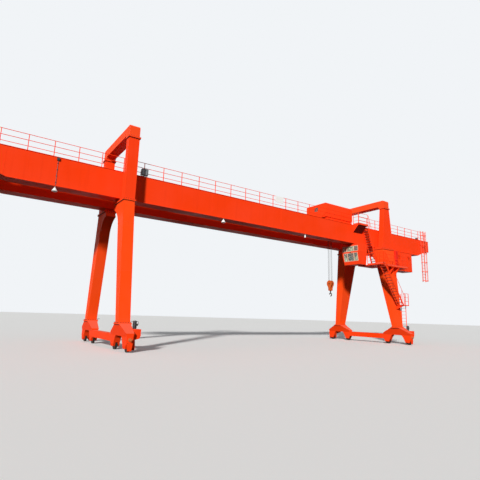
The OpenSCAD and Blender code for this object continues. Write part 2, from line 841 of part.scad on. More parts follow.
// Lamps under the front edge of the front girder: two broad shades and a small one
lamp_out = 3690;
lamp_mid = 6670;
lamp_cab = 9210;
lamp_x = [-portal_x - lamp_out, -portal_x + lamp_mid, portal_x - lamp_cab];
lamp_d = [300, 300, 120];
lamp_in = 60;
lamp_stem_d = 30;
lamp_stem = 90;
lamp_h = 180;
module girder_lamps() {
    color("#f2f0ea")
        for (i = [0:2]) translate([lamp_x[i], -outer_y + lamp_in, girder_z]) {
            translate([0, 0, -lamp_stem]) cylinder(d = lamp_stem_d, h = lamp_stem, $fn = 24);
            translate([0, 0, -lamp_stem - lamp_h])
                cylinder(d1 = lamp_d[i], d2 = lamp_stem, h = lamp_h, $fn = 48);
        }
}

// Floodlight on a stand at the girder edge: a deep housing with a lip round its glass
flood_past = 1030;
flood_x = -portal_x + flood_past;
flood_w = 360;
flood_h = 380;
flood_foot = 90;
flood_in = 120;
flood_stem_d = 50;
flood_back = 40;
flood_taper = 110;
flood_lip = 20;
flood_lip_t = 30;
module floodlight() {
    y = -outer_y + flood_in;
    z = girder_top + flood_foot;
    color(dark_steel) {
        translate([flood_x, y, girder_top]) cylinder(d = flood_stem_d, h = flood_foot, $fn = 24);
        along_x(flood_x - flood_w / 2, flood_x + flood_w / 2) translate([y, z]) polygon([
            [-flood_in, 0], [-flood_in, flood_h], [flood_back, flood_h], [flood_in, flood_h - flood_taper],
            [flood_in, flood_taper], [flood_back, 0]
        ]);
        for (z1 = [z, z + flood_h - flood_lip])
            block([flood_x - flood_w / 2 - flood_lip, y - flood_in - flood_lip_t, z1],
                  [flood_x + flood_w / 2 + flood_lip, y - flood_in, z1 + flood_lip]);
        for (s = [-1, 1])
            block([flood_x + s * flood_w / 2 - flood_lip, y - flood_in - flood_lip_t, z + flood_lip],
                  [flood_x + s * flood_w / 2 + flood_lip, y - flood_in, z + flood_h - flood_lip]);
    }
}

// Blank board clipped to the two upper rails of the front railing
board_w = 730;
board_h = 470;
board_t = 20;
clip_x = 250;
clip_w = 30;
module sign_board() {
    y = -outer_y + walk_in - bar;
    z = girder_top + rail_height;
    color("#f4f4f2") {
        block([-board_w / 2, y - board_t, z - board_h], [board_w / 2, y, z]);
        for (x = [-clip_x, clip_x - clip_w], z1 = [z, z - rail_height / 3])
            block([x, y, z1 - rail_bar], [x + clip_w, y + (bar - rail_bar) / 2, z1]);
    }
}

// Caged ladder at the front of the right girder end
cage_in = 1150;
cage_drop = 750;
cage_x = girder_len / 2 - cage_in;
cage_z0 = landing_z - cage_drop;
cage_r = 350;
cage_step = 900;
cage_bar = 24;
hoop_h = 50;
hoop_t = 12;
cage_half = 225;
cage_rung = 150;
cage_rung_step = 300;
cage_rung_out = 25;
cage_hoop = 60;
cage_top = 100;
cage_bars = [20:35:160];
module end_ladder() {
    top = girder_top + rail_height;
    y = outer_y + hoop_h;
    color("#c98078") front() {
        for (s = [-1, 1])
            block([cage_x + s * cage_half - stile / 2, outer_y, cage_z0],
                  [cage_x + s * cage_half + stile / 2, y, top]);
        for (z = [cage_z0 + cage_rung:cage_rung_step:girder_top])
            translate([cage_x - cage_half + stile / 2, outer_y + cage_rung_out, z]) rotate([0, 90, 0])
                cylinder(d = rung_d, h = 2 * cage_half - stile, $fn = 16);
        for (z = [cage_z0 + cage_hoop:cage_step:top - hoop_h]) translate([cage_x, 0, z]) {
            translate([0, y, 0]) difference() {
                cylinder(r = cage_r + hoop_t, h = hoop_h, $fn = 48);
                translate([0, 0, -eps]) cylinder(r = cage_r, h = hoop_h + 2 * eps, $fn = 48);
                translate([-2 * cage_r, -4 * cage_r, -eps]) cube([4 * cage_r, 4 * cage_r, hoop_h + 2 * eps]);
            }
            for (s = [0, 1]) mirror([s, 0, 0])
                block([cage_half, y - hoop_t, 0], [cage_r + hoop_t, y, hoop_h]);
        }
        for (a = cage_bars)
            translate([cage_x, y, cage_z0 + cage_hoop]) rotate([0, 0, a])
                translate([cage_r - hoop_t / 2, 0, 0])
                cylinder(d = cage_bar, h = top - cage_top - cage_hoop - cage_z0, $fn = 16);
    }
}

// Trolley frame: two side beams over the rails, cross beams and a floor between them
rail_top = girder_top + rail_h;
frame_gap = 70;
frame_h = 230;
frame_z0 = rail_top + frame_gap;
frame_z1 = frame_z0 + frame_h;
frame_len = 3000;
floor_t = 30;
side_w = 200;
side_slot = 92;
wheel_in = 350;
slot_over = 30;
bumper_z = 100;
bumper_d = 120;
shaft_in = 10;
trolley_wb = frame_len - 2 * wheel_in;
wheel_gap = 0.3;
beam_in = 400;
beam_w = 200;
trolley_axle_d = 70;
trolley_tyre_w = 76;
trolley_stop = 100;
trolley_axle_z = rail_top + trolley_wheel_d / 2 + wheel_gap;
module trolley_frame() {
    color(paint) difference() {
        union() {
            for (s = [-1, 1]) {
                block([trolley_x - frame_len / 2, s * rail_y - side_w / 2, frame_z0],
                      [trolley_x + frame_len / 2, s * rail_y + side_w / 2, frame_z1]);
                translate([trolley_x, s * rail_y, frame_z0 + bumper_z]) rotate([0, 90, 0])
                    cylinder(d = bumper_d, h = frame_len + 2 * trolley_stop, center = true, $fn = 48);
            }
            block([trolley_x - frame_len / 2 + beam_in, -rail_y, frame_z0],
                  [trolley_x + frame_len / 2 - beam_in, rail_y, frame_z0 + floor_t]);
            for (x = [-frame_len / 2 + beam_in, frame_len / 2 - beam_in - beam_w])
                block([trolley_x + x, -rail_y, frame_z0], [trolley_x + x + beam_w, rail_y, frame_z1]);
        }
        for (s = [-1, 1], t = [-1, 1])
            translate([trolley_x + t * trolley_wb / 2, s * rail_y, trolley_axle_z]) {
                cube([trolley_wheel_d + slot_over, side_slot, trolley_wheel_d + slot_over], center = true);
                rotate([90, 0, 0])
                    cylinder(d = trolley_axle_d + running, h = side_w + 2 * eps, center = true, $fn = 48);
            }
    }
}
// Two flanged wheels on a shared shaft across the trolley
module trolley_wheels(t) {
    color(dark_steel) translate([trolley_x + t * trolley_wb / 2, 0, trolley_axle_z]) rotate([90, 0, 0]) {
        for (s = [-1, 1]) translate([0, 0, s * rail_y])
            cylinder(d = trolley_wheel_d, h = trolley_tyre_w, center = true, $fn = 64);
        cylinder(d = trolley_axle_d, h = 2 * rail_y + side_w - 2 * shaft_in, center = true, $fn = 48);
    }
}
module trolley_drive_wheels() { trolley_wheels(1); }
module trolley_idle_wheels() { trolley_wheels(-1); }
// House over the hoist, with cut eaves and a window recess in the end that faces the flexible leg
eave = 70;
recess = 25;
window_w = 440;
window_h = 330;
window_z = 620;
module trolley_house() {
    z1 = frame_z1 + house_h;
    x0 = trolley_x - house_len / 2;
    color(paint) difference() {
        along_x(x0, trolley_x + house_len / 2) polygon([
            [-house_w / 2, frame_z1], [house_w / 2, frame_z1], [house_w / 2, z1 - eave],
            [house_w / 2 - eave, z1], [-house_w / 2 + eave, z1], [-house_w / 2, z1 - eave]
        ]);
        block([x0 - eps, -window_w / 2, frame_z1 + window_z],
              [x0 + recess, window_w / 2, frame_z1 + window_z + window_h]);
    }
}

// Hook block: two cheek plates, a rounded top and a crosshead with a bore for the shank
block_w = 560;
block_h = 860;
block_t = 280;
cheek_t = 25;
sheave_r = 175;
sheave_w = 62;
fall_x = 55;
fall_y = 150;
sheave_z = block_z - block_w / 2;
pin_d = 60;
crosshead_w = 240;
crosshead_h = 190;
shank_d = 90;
shank_in = 120;
module hook_block() {
    z0 = block_z - block_h;
    color("#e5572a") translate([trolley_x, 0, 0]) difference() {
        union() {
            for (x = [-block_t / 2, block_t / 2 - cheek_t]) along_x(x, x + cheek_t) {
                translate([0, sheave_z]) circle(d = block_w, $fn = 64);
                polygon([
                    [-block_w / 2, sheave_z], [block_w / 2, sheave_z],
                    [crosshead_w / 2, z0 + crosshead_h], [crosshead_w / 2, z0 + eps],
                    [-crosshead_w / 2, z0 + eps], [-crosshead_w / 2, z0 + crosshead_h]
                ]);
            }
            block([-block_t / 2, -crosshead_w / 2, z0], [block_t / 2, crosshead_w / 2, z0 + crosshead_h]);
        }
        translate([0, 0, sheave_z]) rotate([0, 90, 0])
            cylinder(d = pin_d + 2 * seat_gap, h = 2 * block_t, center = true, $fn = 48);
        translate([0, 0, z0 - eps]) cylinder(d = shank_d + running, h = shank_in + 5, $fn = 48);
    }
}

// Two grooved sheaves side by side on the block's pin
groove_r = fall_y - rope_d / 2 - seat_gap;
groove_play = 3;
groove_flare = 4;
hub_r = 70;
web_half = 14;
rim_t = 12;
module sheave() {
    half = sheave_w / 2;
    g = rope_d / 2 + groove_play;
    rim_r = groove_r - rim_t;
    rotate([0, 90, 0]) rotate_extrude($fn = 64) polygon([
        [pin_d / 2 - eps, -half], [hub_r, -half], [hub_r, -web_half], [rim_r, -web_half], [rim_r, -half],
        [sheave_r, -half], [sheave_r, -g - groove_flare], [groove_r, -g],
        [groove_r, g], [sheave_r, g + groove_flare], [sheave_r, half],
        [rim_r, half], [rim_r, web_half], [hub_r, web_half], [hub_r, half], [pin_d / 2 - eps, half]
    ]);
}
pin_past = 50;
module block_sheaves() {
    color(dark_steel) translate([trolley_x, 0, sheave_z]) {
        for (s = [-1, 1]) translate([s * fall_x, 0, 0]) sheave();
        rotate([0, 90, 0]) cylinder(d = pin_d, h = block_t + pin_past, center = true, $fn = 48);
    }
}

// Hook on its shank, free to swivel
hook_r = 120;
hook_bar = 80;
shank_l = 220;
collar_d = 170;
collar_h = 50;
module hook() {
    color(dark_steel) translate([trolley_x, 0, block_z - block_h]) {
        translate([0, 0, -shank_l]) cylinder(d = shank_d, h = shank_l + shank_in, $fn = 48);
        translate([0, 0, -collar_h]) cylinder(d = collar_d, h = collar_h, $fn = 48);
        translate([0, 0, -shank_l - hook_r]) rotate([90, 90, 0])
            rotate_extrude(angle = 270, $fn = 64) translate([hook_r, 0]) circle(d = hook_bar, $fn = 24);
    }
}

// Four falls of rope from the trolley floor to the sheaves
module hoist_ropes() {
    color("#55504a")
        for (s = [-1, 1], t = [-1, 1])
            translate([trolley_x + s * fall_x, t * fall_y, sheave_z])
                cylinder(d = rope_d, h = frame_z0 - sheave_z, $fn = 16);
}

front_girder();
rear_girder();
trolley_rails();
left_end_beam();
right_end_beam();
left_front_column();
left_rear_column();
right_front_column();
right_rear_column();
left_arch();
right_arch();
left_front_leg();
left_rear_leg();
right_front_leg();
right_rear_leg();
left_sill_beam();
right_sill_beam();
left_front_saddle();
left_rear_saddle();
right_front_saddle();
right_rear_saddle();
left_front_outer_wheel();
left_front_inner_wheel();
left_rear_inner_wheel();
left_rear_outer_wheel();
right_front_outer_wheel();
right_front_inner_wheel();
right_rear_inner_wheel();
right_rear_outer_wheel();
left_travel_drives();
right_travel_drives();
travel_motors();
rail_guards();
travel_buffers();
front_railing();
rear_railing();
cab_body();
cab_windows();
cab_door();
operator_seat();
service_landing();
landing_railing();
electrical_room();
upper_platform();
platform_railing();
upper_stair();
middle_stair();
lower_ladder();
girder_lamps();
floodlight();
sign_board();
end_ladder();
trolley_frame();
trolley_drive_wheels();
trolley_idle_wheels();
trolley_house();
hook_block();
block_sheaves();
hook();
hoist_ropes();
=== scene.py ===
import math

import bmesh
import bpy
from bpy.props import FloatProperty, FloatVectorProperty, IntProperty, PointerProperty, StringProperty
from mathutils import Matrix, Vector


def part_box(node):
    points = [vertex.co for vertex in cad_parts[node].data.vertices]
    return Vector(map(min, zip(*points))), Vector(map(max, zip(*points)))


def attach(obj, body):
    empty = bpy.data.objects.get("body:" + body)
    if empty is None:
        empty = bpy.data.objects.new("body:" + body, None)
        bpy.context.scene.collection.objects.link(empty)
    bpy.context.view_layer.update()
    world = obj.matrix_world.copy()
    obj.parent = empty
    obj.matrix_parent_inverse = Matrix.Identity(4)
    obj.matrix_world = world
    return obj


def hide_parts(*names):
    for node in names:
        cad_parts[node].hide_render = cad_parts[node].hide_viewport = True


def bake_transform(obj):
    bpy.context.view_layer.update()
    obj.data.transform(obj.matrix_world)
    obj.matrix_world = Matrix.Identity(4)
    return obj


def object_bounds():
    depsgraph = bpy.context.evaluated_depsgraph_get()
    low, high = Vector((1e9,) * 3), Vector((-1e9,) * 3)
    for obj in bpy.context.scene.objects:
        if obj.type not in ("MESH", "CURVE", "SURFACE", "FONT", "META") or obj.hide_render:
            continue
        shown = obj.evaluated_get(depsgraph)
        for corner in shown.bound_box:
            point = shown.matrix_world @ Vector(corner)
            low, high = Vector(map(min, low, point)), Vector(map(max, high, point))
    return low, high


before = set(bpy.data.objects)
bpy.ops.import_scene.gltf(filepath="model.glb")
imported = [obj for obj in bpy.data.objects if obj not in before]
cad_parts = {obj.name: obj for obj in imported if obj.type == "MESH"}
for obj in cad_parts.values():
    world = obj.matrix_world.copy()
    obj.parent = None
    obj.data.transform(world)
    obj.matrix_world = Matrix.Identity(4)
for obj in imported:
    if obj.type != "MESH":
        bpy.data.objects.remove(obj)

bl_info = {
    "name": "Gantry crane finish",
    "version": (1, 0, 0),
    "blender": (4, 5, 0),
    "location": "3D View > Sidebar > Gantry crane",
    "description": "Paints and dresses a rail-mounted double-girder gantry crane",
    "category": "Object",
}

CAD_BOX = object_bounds()
SIDES = ("left", "right")
ENDS = ("front", "rear")
CORNERS = [f"{side}_{end}" for side in SIDES for end in ENDS]
UP = Vector((0, 0, 1))


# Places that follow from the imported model, in metres

def low(node):
    """The lowest corner of a node at rest."""
    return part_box(node)[0]


def high(node):
    """The highest corner of a node at rest."""
    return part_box(node)[1]


GIRDER_BOTTOM = low("front_girder").z
GIRDER_TOP = high("front_girder").z
GIRDER_OUT = -low("front_girder").y
LEG_HEAD = high("left_front_leg").z
LEG_FOOT = low("left_front_leg").z
ARCH_FOOT = low("left_arch").z
DECK_OF = {"front_railing": GIRDER_TOP, "rear_railing": GIRDER_TOP,
           "landing_railing": high("service_landing").z, "platform_railing": GIRDER_TOP}

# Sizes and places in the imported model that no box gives
FLANGE = 0.024
FLANGE_LIP = 0.03
JOINT_PLATE = 0.04
JOINT_LIP = 0.06
# Height at which the legs bend
KNEE = 6.749
# From the middle of a travel wheel to the face of its axle cap
AXLE_CAP = 0.2
# Both edges of the treads, across the crane rails
TREADS_OF = {"upper_stair": (-2.324, -1.826), "middle_stair": (-3.874, -3.376)}
# Height above the cab's middle of the bar between its upper and lower panes
CAB_SILL = 0.15

# Places of the pieces that this script adds, each named with its axis
ARCH_SEAMS_Y = (-1.2, 0.0, 1.2)
DOOR_GLASS_Z = (7.25, 7.92)
GRAB_HANDLE_Z = (6.9, 7.7)
DOOR_PULL_Z = (7.0, 7.35)
SCREEN_X, SCREEN_Z = 8.3, 7.26
ROOM_LOUVRES_X, ROOM_LOUVRES_Z = (14.1, 15.6), 7.75
ROOM_END_LOUVRE_Z = 7.7
DUCT_X = (13.42, 13.8)
HOUSE_DOOR_X = 6.75
HOUSE_LOUVRE_Z = 10.95
HOUSE_WINDOW_Y, HOUSE_WINDOW_Z = (-0.215, 0.215), (10.875, 11.195)
LEG_CABLE_Y = 3.2
FORK_Y = -1.63

# Turned outlines as (radius, height), and the eye as (side, height). The bulb's numbers are shares
# of the radius of its shade
LEVER = ((0.035, 0.0), (0.02, 0.02), (0.008, 0.03), (0.008, 0.11), (0.022, 0.12), (0.026, 0.145),
         (0.018, 0.165))
BUTTON = ((0.014, 0.0), (0.014, 0.008), (0.009, 0.012))
BULB = ((0.5, 0.0), (0.47, 0.12), (0.36, 0.25), (0.18, 0.33))
LIFTING_EYE = ((-0.05, 0.0), (-0.05, 0.05), (-0.02, 0.08), (0.02, 0.08), (0.05, 0.05), (0.05, 0.0))

# Heights of bolt heads and nuts, as shares of their width
HEAD_HEIGHT = 0.55
NUT_HEIGHT = 0.6


# Colour and material helpers

def linear(hex_colour):
    """The linear colour of an sRGB hex value such as #F04020."""
    channels = [int(hex_colour[i:i + 2], 16) / 255 for i in (1, 3, 5)]
    return tuple(c / 12.92 if c <= 0.04045 else ((c + 0.055) / 1.055) ** 2.4 for c in channels) + (1.0,)


def add_node(tree, kind, inputs=(), **settings):
    """Adds a shader node, applies its settings, and links or sets its inputs."""
    made = tree.nodes.new(kind)
    for key, value in settings.items():
        setattr(made, key, value)
    for socket, value in dict(inputs).items():
        if isinstance(value, bpy.types.NodeSocket):
            tree.links.new(value, made.inputs[socket])
        else:
            made.inputs[socket].default_value = value
    return made


def new_material(name):
    """A material with an empty tree."""
    material = bpy.data.materials.new(name)
    material.use_nodes = True
    material.node_tree.nodes.clear()
    return material, material.node_tree


def shade(tree, inputs):
    """Closes a material with its shader and its output."""
    shader = add_node(tree, "ShaderNodeBsdfPrincipled", inputs)
    add_node(tree, "ShaderNodeOutputMaterial", {"Surface": shader.outputs["BSDF"]})


def pattern(tree, size_mm, span, levels, detail, grain=0.5, height_mm=None):
    """Patches of a real size in millimetres, drawn out upwards to height_mm where it is given: the
    part of a noise between two values, moved to two levels."""
    place = add_node(tree, "ShaderNodeTexCoord").outputs["Object"]
    if height_mm:
        place = add_node(tree, "ShaderNodeMapping", {
            "Vector": place, "Scale": (1.0, 1.0, size_mm / height_mm)}).outputs["Vector"]
    noise = add_node(tree, "ShaderNodeTexNoise", {
        "Vector": place, "Scale": 1000 / size_mm, "Detail": detail, "Roughness": grain})
    inputs = {"Value": noise.outputs["Fac"], "From Min": span[0], "From Max": span[1],
              "To Min": levels[0], "To Max": levels[1]}
    return add_node(tree, "ShaderNodeMapRange", inputs).outputs["Result"]


def film(tree, under, over, size_mm, span, most, detail, grain=0.5, height_mm=None):
    """One colour over another in patches of a real size, which cover it by no more than most."""
    amount = pattern(tree, size_mm, span, (0.0, most), detail, grain, height_mm)
    inputs = {"Factor": amount, "A": under, "B": over}
    return add_node(tree, "ShaderNodeMix", inputs, data_type="RGBA").outputs["Result"]


# Mesh helpers

def place_object(name, data):
    """A new object in the scene."""
    made = bpy.data.objects.new(name, data)
    bpy.context.scene.collection.objects.link(made)
    return made


def place_mesh(name, mesh, material):
    """Turns a bmesh into an object of one material."""
    data = bpy.data.meshes.new(name)
    mesh.to_mesh(data)
    mesh.free()
    data.materials.append(material)
    return place_object(name, data)


def new_piece(name, mesh, finish, body="crane", smooth=False):
    """Turns a bmesh into a piece that rides on a body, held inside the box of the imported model."""
    for vert in mesh.verts:
        vert.co = Vector(min(max(vert.co[i], CAD_BOX[0][i]), CAD_BOX[1][i]) for i in range(3))
    bmesh.ops.recalc_face_normals(mesh, faces=mesh.faces)
    piece = place_mesh(name, mesh, MATERIALS[finish])
    if smooth:
        piece.data.shade_smooth()
        piece.data.set_sharp_from_angle(angle=math.radians(35))
    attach(piece, body)
    return piece


def corner_box(points):
    """The lowest and highest corners of some points."""
    return tuple(Vector(pick(p[i] for p in points) for i in range(3)) for pick in (min, max))


def rectangle(corner, along, up):
    """The four corners of a rectangle from one corner and two edges."""
    corner, along, up = Vector(corner), Vector(along), Vector(up)
    return [corner, corner + along, corner + along + up, corner + up]


def spread(start, end, pitch):
    """Evenly spaced values from start to end, no further apart than pitch."""
    count = max(1, math.ceil(abs(end - start) / pitch))
    return [start + (end - start) * i / count for i in range(count + 1)]


def outward(hi):
    """The way out along Y from the middle of the crane, for a solid with this highest corner."""
    return -1 if hi.y < 0 else 1


def join_rings(mesh, rings, closed=False):
    """Faces from each ring of corners to the next, and over both ends or on to the first ring."""
    pairs = list(zip(rings, rings[1:]))
    if closed:
        pairs.append((rings[-1], rings[0]))
    else:
        mesh.faces.new(rings[0])
        mesh.faces.new(rings[-1])
    for near, far in pairs:
        for i in range(len(near)):
            j = (i + 1) % len(near)
            mesh.faces.new((near[i], near[j], far[j], far[i]))


def add_box(mesh, lo, hi, bevel=0.0):
    """A block between two corners, with its edges cut where a bevel is given."""
    lo, hi = Vector(lo), Vector(hi)
    verts = bmesh.ops.create_cube(mesh, size=1.0)["verts"]
    middle = (lo + hi) / 2
    size = hi - lo
    for vert in verts:
        vert.co = Vector(vert.co[i] * size[i] + middle[i] for i in range(3))
    if bevel:
        edges = list(dict.fromkeys(edge for vert in verts for edge in vert.link_edges))
        bmesh.ops.bevel(mesh, geom=edges, offset=bevel, segments=1, affect="EDGES")


def add_slab(mesh, outline, offset):
    """A plate: an outline of points and its copy moved by an offset, joined at the rim."""
    join_rings(mesh, [[mesh.verts.new(Vector(p) + shift) for p in outline]
                      for shift in (Vector(), Vector(offset))])


def ring_outline(radius, count, turn=0.0):
    """Points of a regular polygon around the origin."""
    steps = [turn + 2 * math.pi * i / count for i in range(count)]
    return [(radius * math.cos(a), radius * math.sin(a)) for a in steps]


def add_lathe(mesh, base, direction, profile, count):
    """A turned form: profile points (radius, height) swept round an axis, closed at both ends."""
    base, direction = Vector(base), Vector(direction).normalized()
    turn = direction.to_track_quat("Z", "Y")
    rings = []
    for radius, height in profile:
        centre = base + direction * height
        rings.append([mesh.verts.new(centre + turn @ Vector((x, y, 0)))
                      for x, y in ring_outline(radius, count)])
    join_rings(mesh, rings)


def add_rod(mesh, start, end, radius, count):
    """A straight round bar."""
    start, end = Vector(start), Vector(end)
    add_lathe(mesh, start, end - start, ((radius, 0.0), (radius, (end - start).length)), count)


def add_tube(mesh, points, radius, count, closed=False):
    """A round bar that follows a line of points, mitred at its corners."""
    points = [Vector(p) for p in points]
    last = len(points) - 1
    across = None
    rings = []
    for i, point in enumerate(points):
        back = point - points[i - 1] if i or closed else points[1] - point
        ahead = points[(i + 1) % len(points)] - point if i < last or closed else back
        back, ahead = back.normalized(), ahead.normalized()
        along = (back + ahead).normalized()
        bend = ahead - back
        if across is None:
            across = back.cross(ahead) if bend.length > 0.001 else along.orthogonal()
        across = (across - along * across.dot(along)).normalized()
        side = along.cross(across)
        stretch = 1 / max(0.5, along.dot(ahead)) - 1
        rings.append([])
        for x, y in ring_outline(radius, count):
            offset = across * x + side * y
            if bend.length > 0.001:
                fold = bend.normalized()
                offset += fold * offset.dot(fold) * stretch
            rings[-1].append(mesh.verts.new(point + offset))
    join_rings(mesh, rings, closed)


def add_bolt(mesh, base, direction, across, height):
    """A hexagon head or nut on its washer, standing on a face."""
    base, direction = Vector(base), Vector(direction)
    washer = base + direction * height * 0.15
    add_rod(mesh, base, washer, across * 0.62, 12)
    # The corners of a hexagon stand out by 1 / sqrt(3) of its width across flats
    add_rod(mesh, washer, base + direction * height, across * 0.577, 6)


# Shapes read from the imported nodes

def merged_mesh(node):
    """A copy of a node's mesh with its shared corners joined."""
    mesh = bmesh.new()
    mesh.from_mesh(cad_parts[node].data)
    mesh.transform(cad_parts[node].matrix_world)
    bmesh.ops.remove_doubles(mesh, verts=mesh.verts, dist=0.00001)
    return mesh


def islands(mesh):
    """The faces of each separate solid in a mesh."""
    mesh.faces.ensure_lookup_table()
    mesh.faces.index_update()
    seen = [False] * len(mesh.faces)
    groups = []
    for start in mesh.faces:
        if seen[start.index]:
            continue
        seen[start.index] = True
        group = [start]
        for face in group:
            for edge in face.edges:
                for other in edge.link_faces:
                    if not seen[other.index]:
                        seen[other.index] = True
                        group.append(other)
        groups.append(group)
    return groups


def solid_boxes(node):
    """The lowest and highest corners of each separate solid in a node, in order of X, Y and Z."""
    mesh = merged_mesh(node)
    boxes = [corner_box([vert.co for face in group for vert in face.verts]) for group in islands(mesh)]
    mesh.free()
    return sorted(boxes, key=lambda box: tuple(round(value, 3) for value in box[0]))


def straighten(points):
    """A closed outline without the points that lie on its straight runs."""
    apart = [p for i, p in enumerate(points) if (p - points[i - 1]).length > 0.0005]
    kept = []
    for i, point in enumerate(apart):
        back = (point - apart[i - 1]).normalized()
        ahead = (apart[(i + 1) % len(apart)] - point).normalized()
        if back.cross(ahead).length > 0.01:
            kept.append(point)
    return kept


def section(node, point, normal):
    """The closed outlines in which a plane cuts a node."""
    mesh = merged_mesh(node)
    everything = mesh.verts[:] + mesh.edges[:] + mesh.faces[:]
    bmesh.ops.bisect_plane(mesh, geom=everything, dist=0.00001, plane_co=point, plane_no=normal,
                           clear_inner=True, clear_outer=True)
    mesh.verts.index_update()
    seen = [False] * len(mesh.verts)
    outlines = []
    for start in mesh.verts:
        if seen[start.index] or not start.link_edges:
            continue
        line = []
        ahead = [start]
        while ahead:
            line.append(ahead[0])
            seen[ahead[0].index] = True
            ahead = [edge.other_vert(line[-1]) for edge in line[-1].link_edges]
            ahead = [vert for vert in ahead if not seen[vert.index]]
        outlines.append(straighten([vert.co.copy() for vert in line]))
    mesh.free()
    return [outline for outline in outlines if len(outline) > 2]


def pane_faces(node):
    """The two large faces of each pane in a node, as outlines with their normals."""
    mesh = merged_mesh(node)
    bmesh.ops.dissolve_limit(mesh, angle_limit=0.01, verts=mesh.verts, edges=mesh.edges)
    faces = []
    for group in islands(mesh):
        for face in sorted(group, key=lambda face: -face.calc_area())[:2]:
            faces.append(([vert.co.copy() for vert in face.verts], face.normal.copy()))
    mesh.free()
    return faces


# The user's settings

def hex_value(name, description, default):
    """A colour as an sRGB hex value."""
    return StringProperty(name=name, description=description, default=default)


def length(name, description, default):
    """A size in metres."""
    return FloatProperty(name=name, description=description, default=default, unit="LENGTH")


class CRANE_PG_paint(bpy.types.PropertyGroup):
    """Colours of the finishes, as sRGB hex values"""
    girder_hex: hex_value("Girder enamel", "Enamel on the girders and the columns", "#FA3E10")
    # The legs' enamel is a little more orange than the girders': partly sun-fading, partly painted sunlight
    # for their sunward faces
    leg_faded_lit_hex: hex_value("Leg enamel", "Enamel on the legs, faded by the sun and lightened as painted sunlight", "#FB4B14")
    arch_hex: hex_value("Arch enamel", "Enamel on the arches, bleached by sun and rain", "#F84C1E")
    gear_hex: hex_value("Travel gear enamel", "Enamel on the saddles and drives", "#F8400F")
    cabin_hex: hex_value("Housing enamel", "Enamel on the cab, rooms and trolley", "#FA4014")
    railing_hex: hex_value("Railing enamel", "Faded enamel on railings, ladders and handrails", "#F2593F")
    block_hex: hex_value("Hook block enamel", "Enamel on the hook block, browned by grease", "#CE5A24")
    frame_hex: hex_value("Window frame enamel", "Pale enamel round the cab windows", "#F0C3A4")
    dark_hex: hex_value("Dark enamel", "Enamel on motors and lamp housings", "#232226")
    white_hex: hex_value("White enamel", "Enamel on lamp shades and the sign board", "#F0EEE8")
    rail_hex: hex_value("Rail steel", "Rolled steel of the trolley rails", "#6E6258")
    iron_hex: hex_value("Cast iron", "Oily cast iron of the wheels and bolts", "#3A3734")
    # The duct's deeper red is painted shadow: the leg's shadow on the front of the electrical room
    duct_shadow_hex: hex_value("Duct enamel", "Deep red enamel on the cable duct, painted shadow of the leg", "#DE2A1C")
    # The treads' darker red is painted shade on the stairs
    tread_shade_hex: hex_value("Stair treads", "Darker red on the open steel treads, painted shade", "#A8341E")
    # Dark red for the plate under the upper platform, painted shade of the platform's underside
    platform_shade_hex: hex_value("Platform shade", "Dark red on the plate under the upper platform, painted shade", "#641C16")
    blind_hex: hex_value("Roller blind", "Sun-bleached cloth of the cab's blind", "#FFF6DE")
    rope_hex: hex_value("Wire rope", "Greased strands of the hoist ropes", "#4A4640")
    rubber_hex: hex_value("Rubber", "Moulded rubber of the seals", "#1D1D1F")
    buffer_hex: hex_value("Polyurethane", "Cast polyurethane of the buffers", "#C9622F")
    glass_hex: hex_value("Cab glass", "Tint of the flat glass panes", "#DCE8DC")


class CRANE_PG_steelwork(bpy.types.PropertyGroup):
    """Sizes of bolts, welds and small trim"""
    bolt_across: length("Bolt width", "Width across flats of the joint bolts", 0.046)
    bolt_pitch: length("Bolt pitch", "Longest distance between joint bolts", 0.14)
    cover_bolt: length("Cover bolt", "Width across flats of the small bolts", 0.019)
    bead: length("Weld bead", "Radius of a weld bead", 0.006)
    plate_length: length("Plate length", "Length of a girder web plate between seams", 5.9)
    clip_pitch: length("Rail clip pitch", "Distance between the clips of a rail", 0.6)
    toe_board: length("Toe board", "Height of the toe boards along the walkways", 0.1)
    seal: length("Window seal", "Radius of the rubber round a pane", 0.009)
    window_frame: length("Window frame", "Width of the frame round a cab pane", 0.033)
    conduit: length("Conduit", "Radius of the cable conduits", 0.011)
    rope_lay: length("Rope lay", "Length of one turn of a rope strand", 0.16)
    strands: IntProperty(
        name="Strands", description="Number of strands in a hoist rope", default=6, min=3, max=8)


class CRANE_PG_stage(bpy.types.PropertyGroup):
    """Camera, floor and light"""
    camera_place: FloatVectorProperty(
        name="Camera place", description="Place of the camera",
        default=(-18.474, -23.425, 1.851), unit="LENGTH")
    camera_turn: FloatVectorProperty(
        name="Camera turn", description="Pan, tilt and roll of the camera",
        default=[math.radians(a) for a in (34.381, 10.970, 1.685)], unit="ROTATION")
    lens: FloatProperty(
        name="Lens", description="Focal length on a 36 mm sensor, in millimetres",
        default=29.68, unit="CAMERA")
    key_turn: FloatVectorProperty(
        name="Key light", description="Compass and height of the key light",
        default=[math.radians(a) for a in (48.0, 22.5)], size=2, unit="ROTATION")
    key_strength: FloatProperty(name="Key strength", description="Strength of the key light", default=4.3)
    key_softness: FloatProperty(
        name="Key softness", description="Angle across the key light",
        default=math.radians(5.0), unit="ROTATION")
    fill_strength: FloatProperty(name="Fill strength", description="Strength of the soft fill", default=0.26)
    floor_hex: hex_value("Floor", "Colour of the floor", "#F4F2EE")
    bounce_hex: hex_value("Floor to soft light", "Colour of the floor in soft light", "#2A2724")
    fill_hex: hex_value("Fill", "Colour of the soft fill", "#EAF1FA")
    backdrop_hex: hex_value("Backdrop", "Colour behind the object", "#F1F4F7")


# Materials, each named for what the real one is and how it was made, and for the shade or sunlight that some
# of them paint

MATERIALS = {}


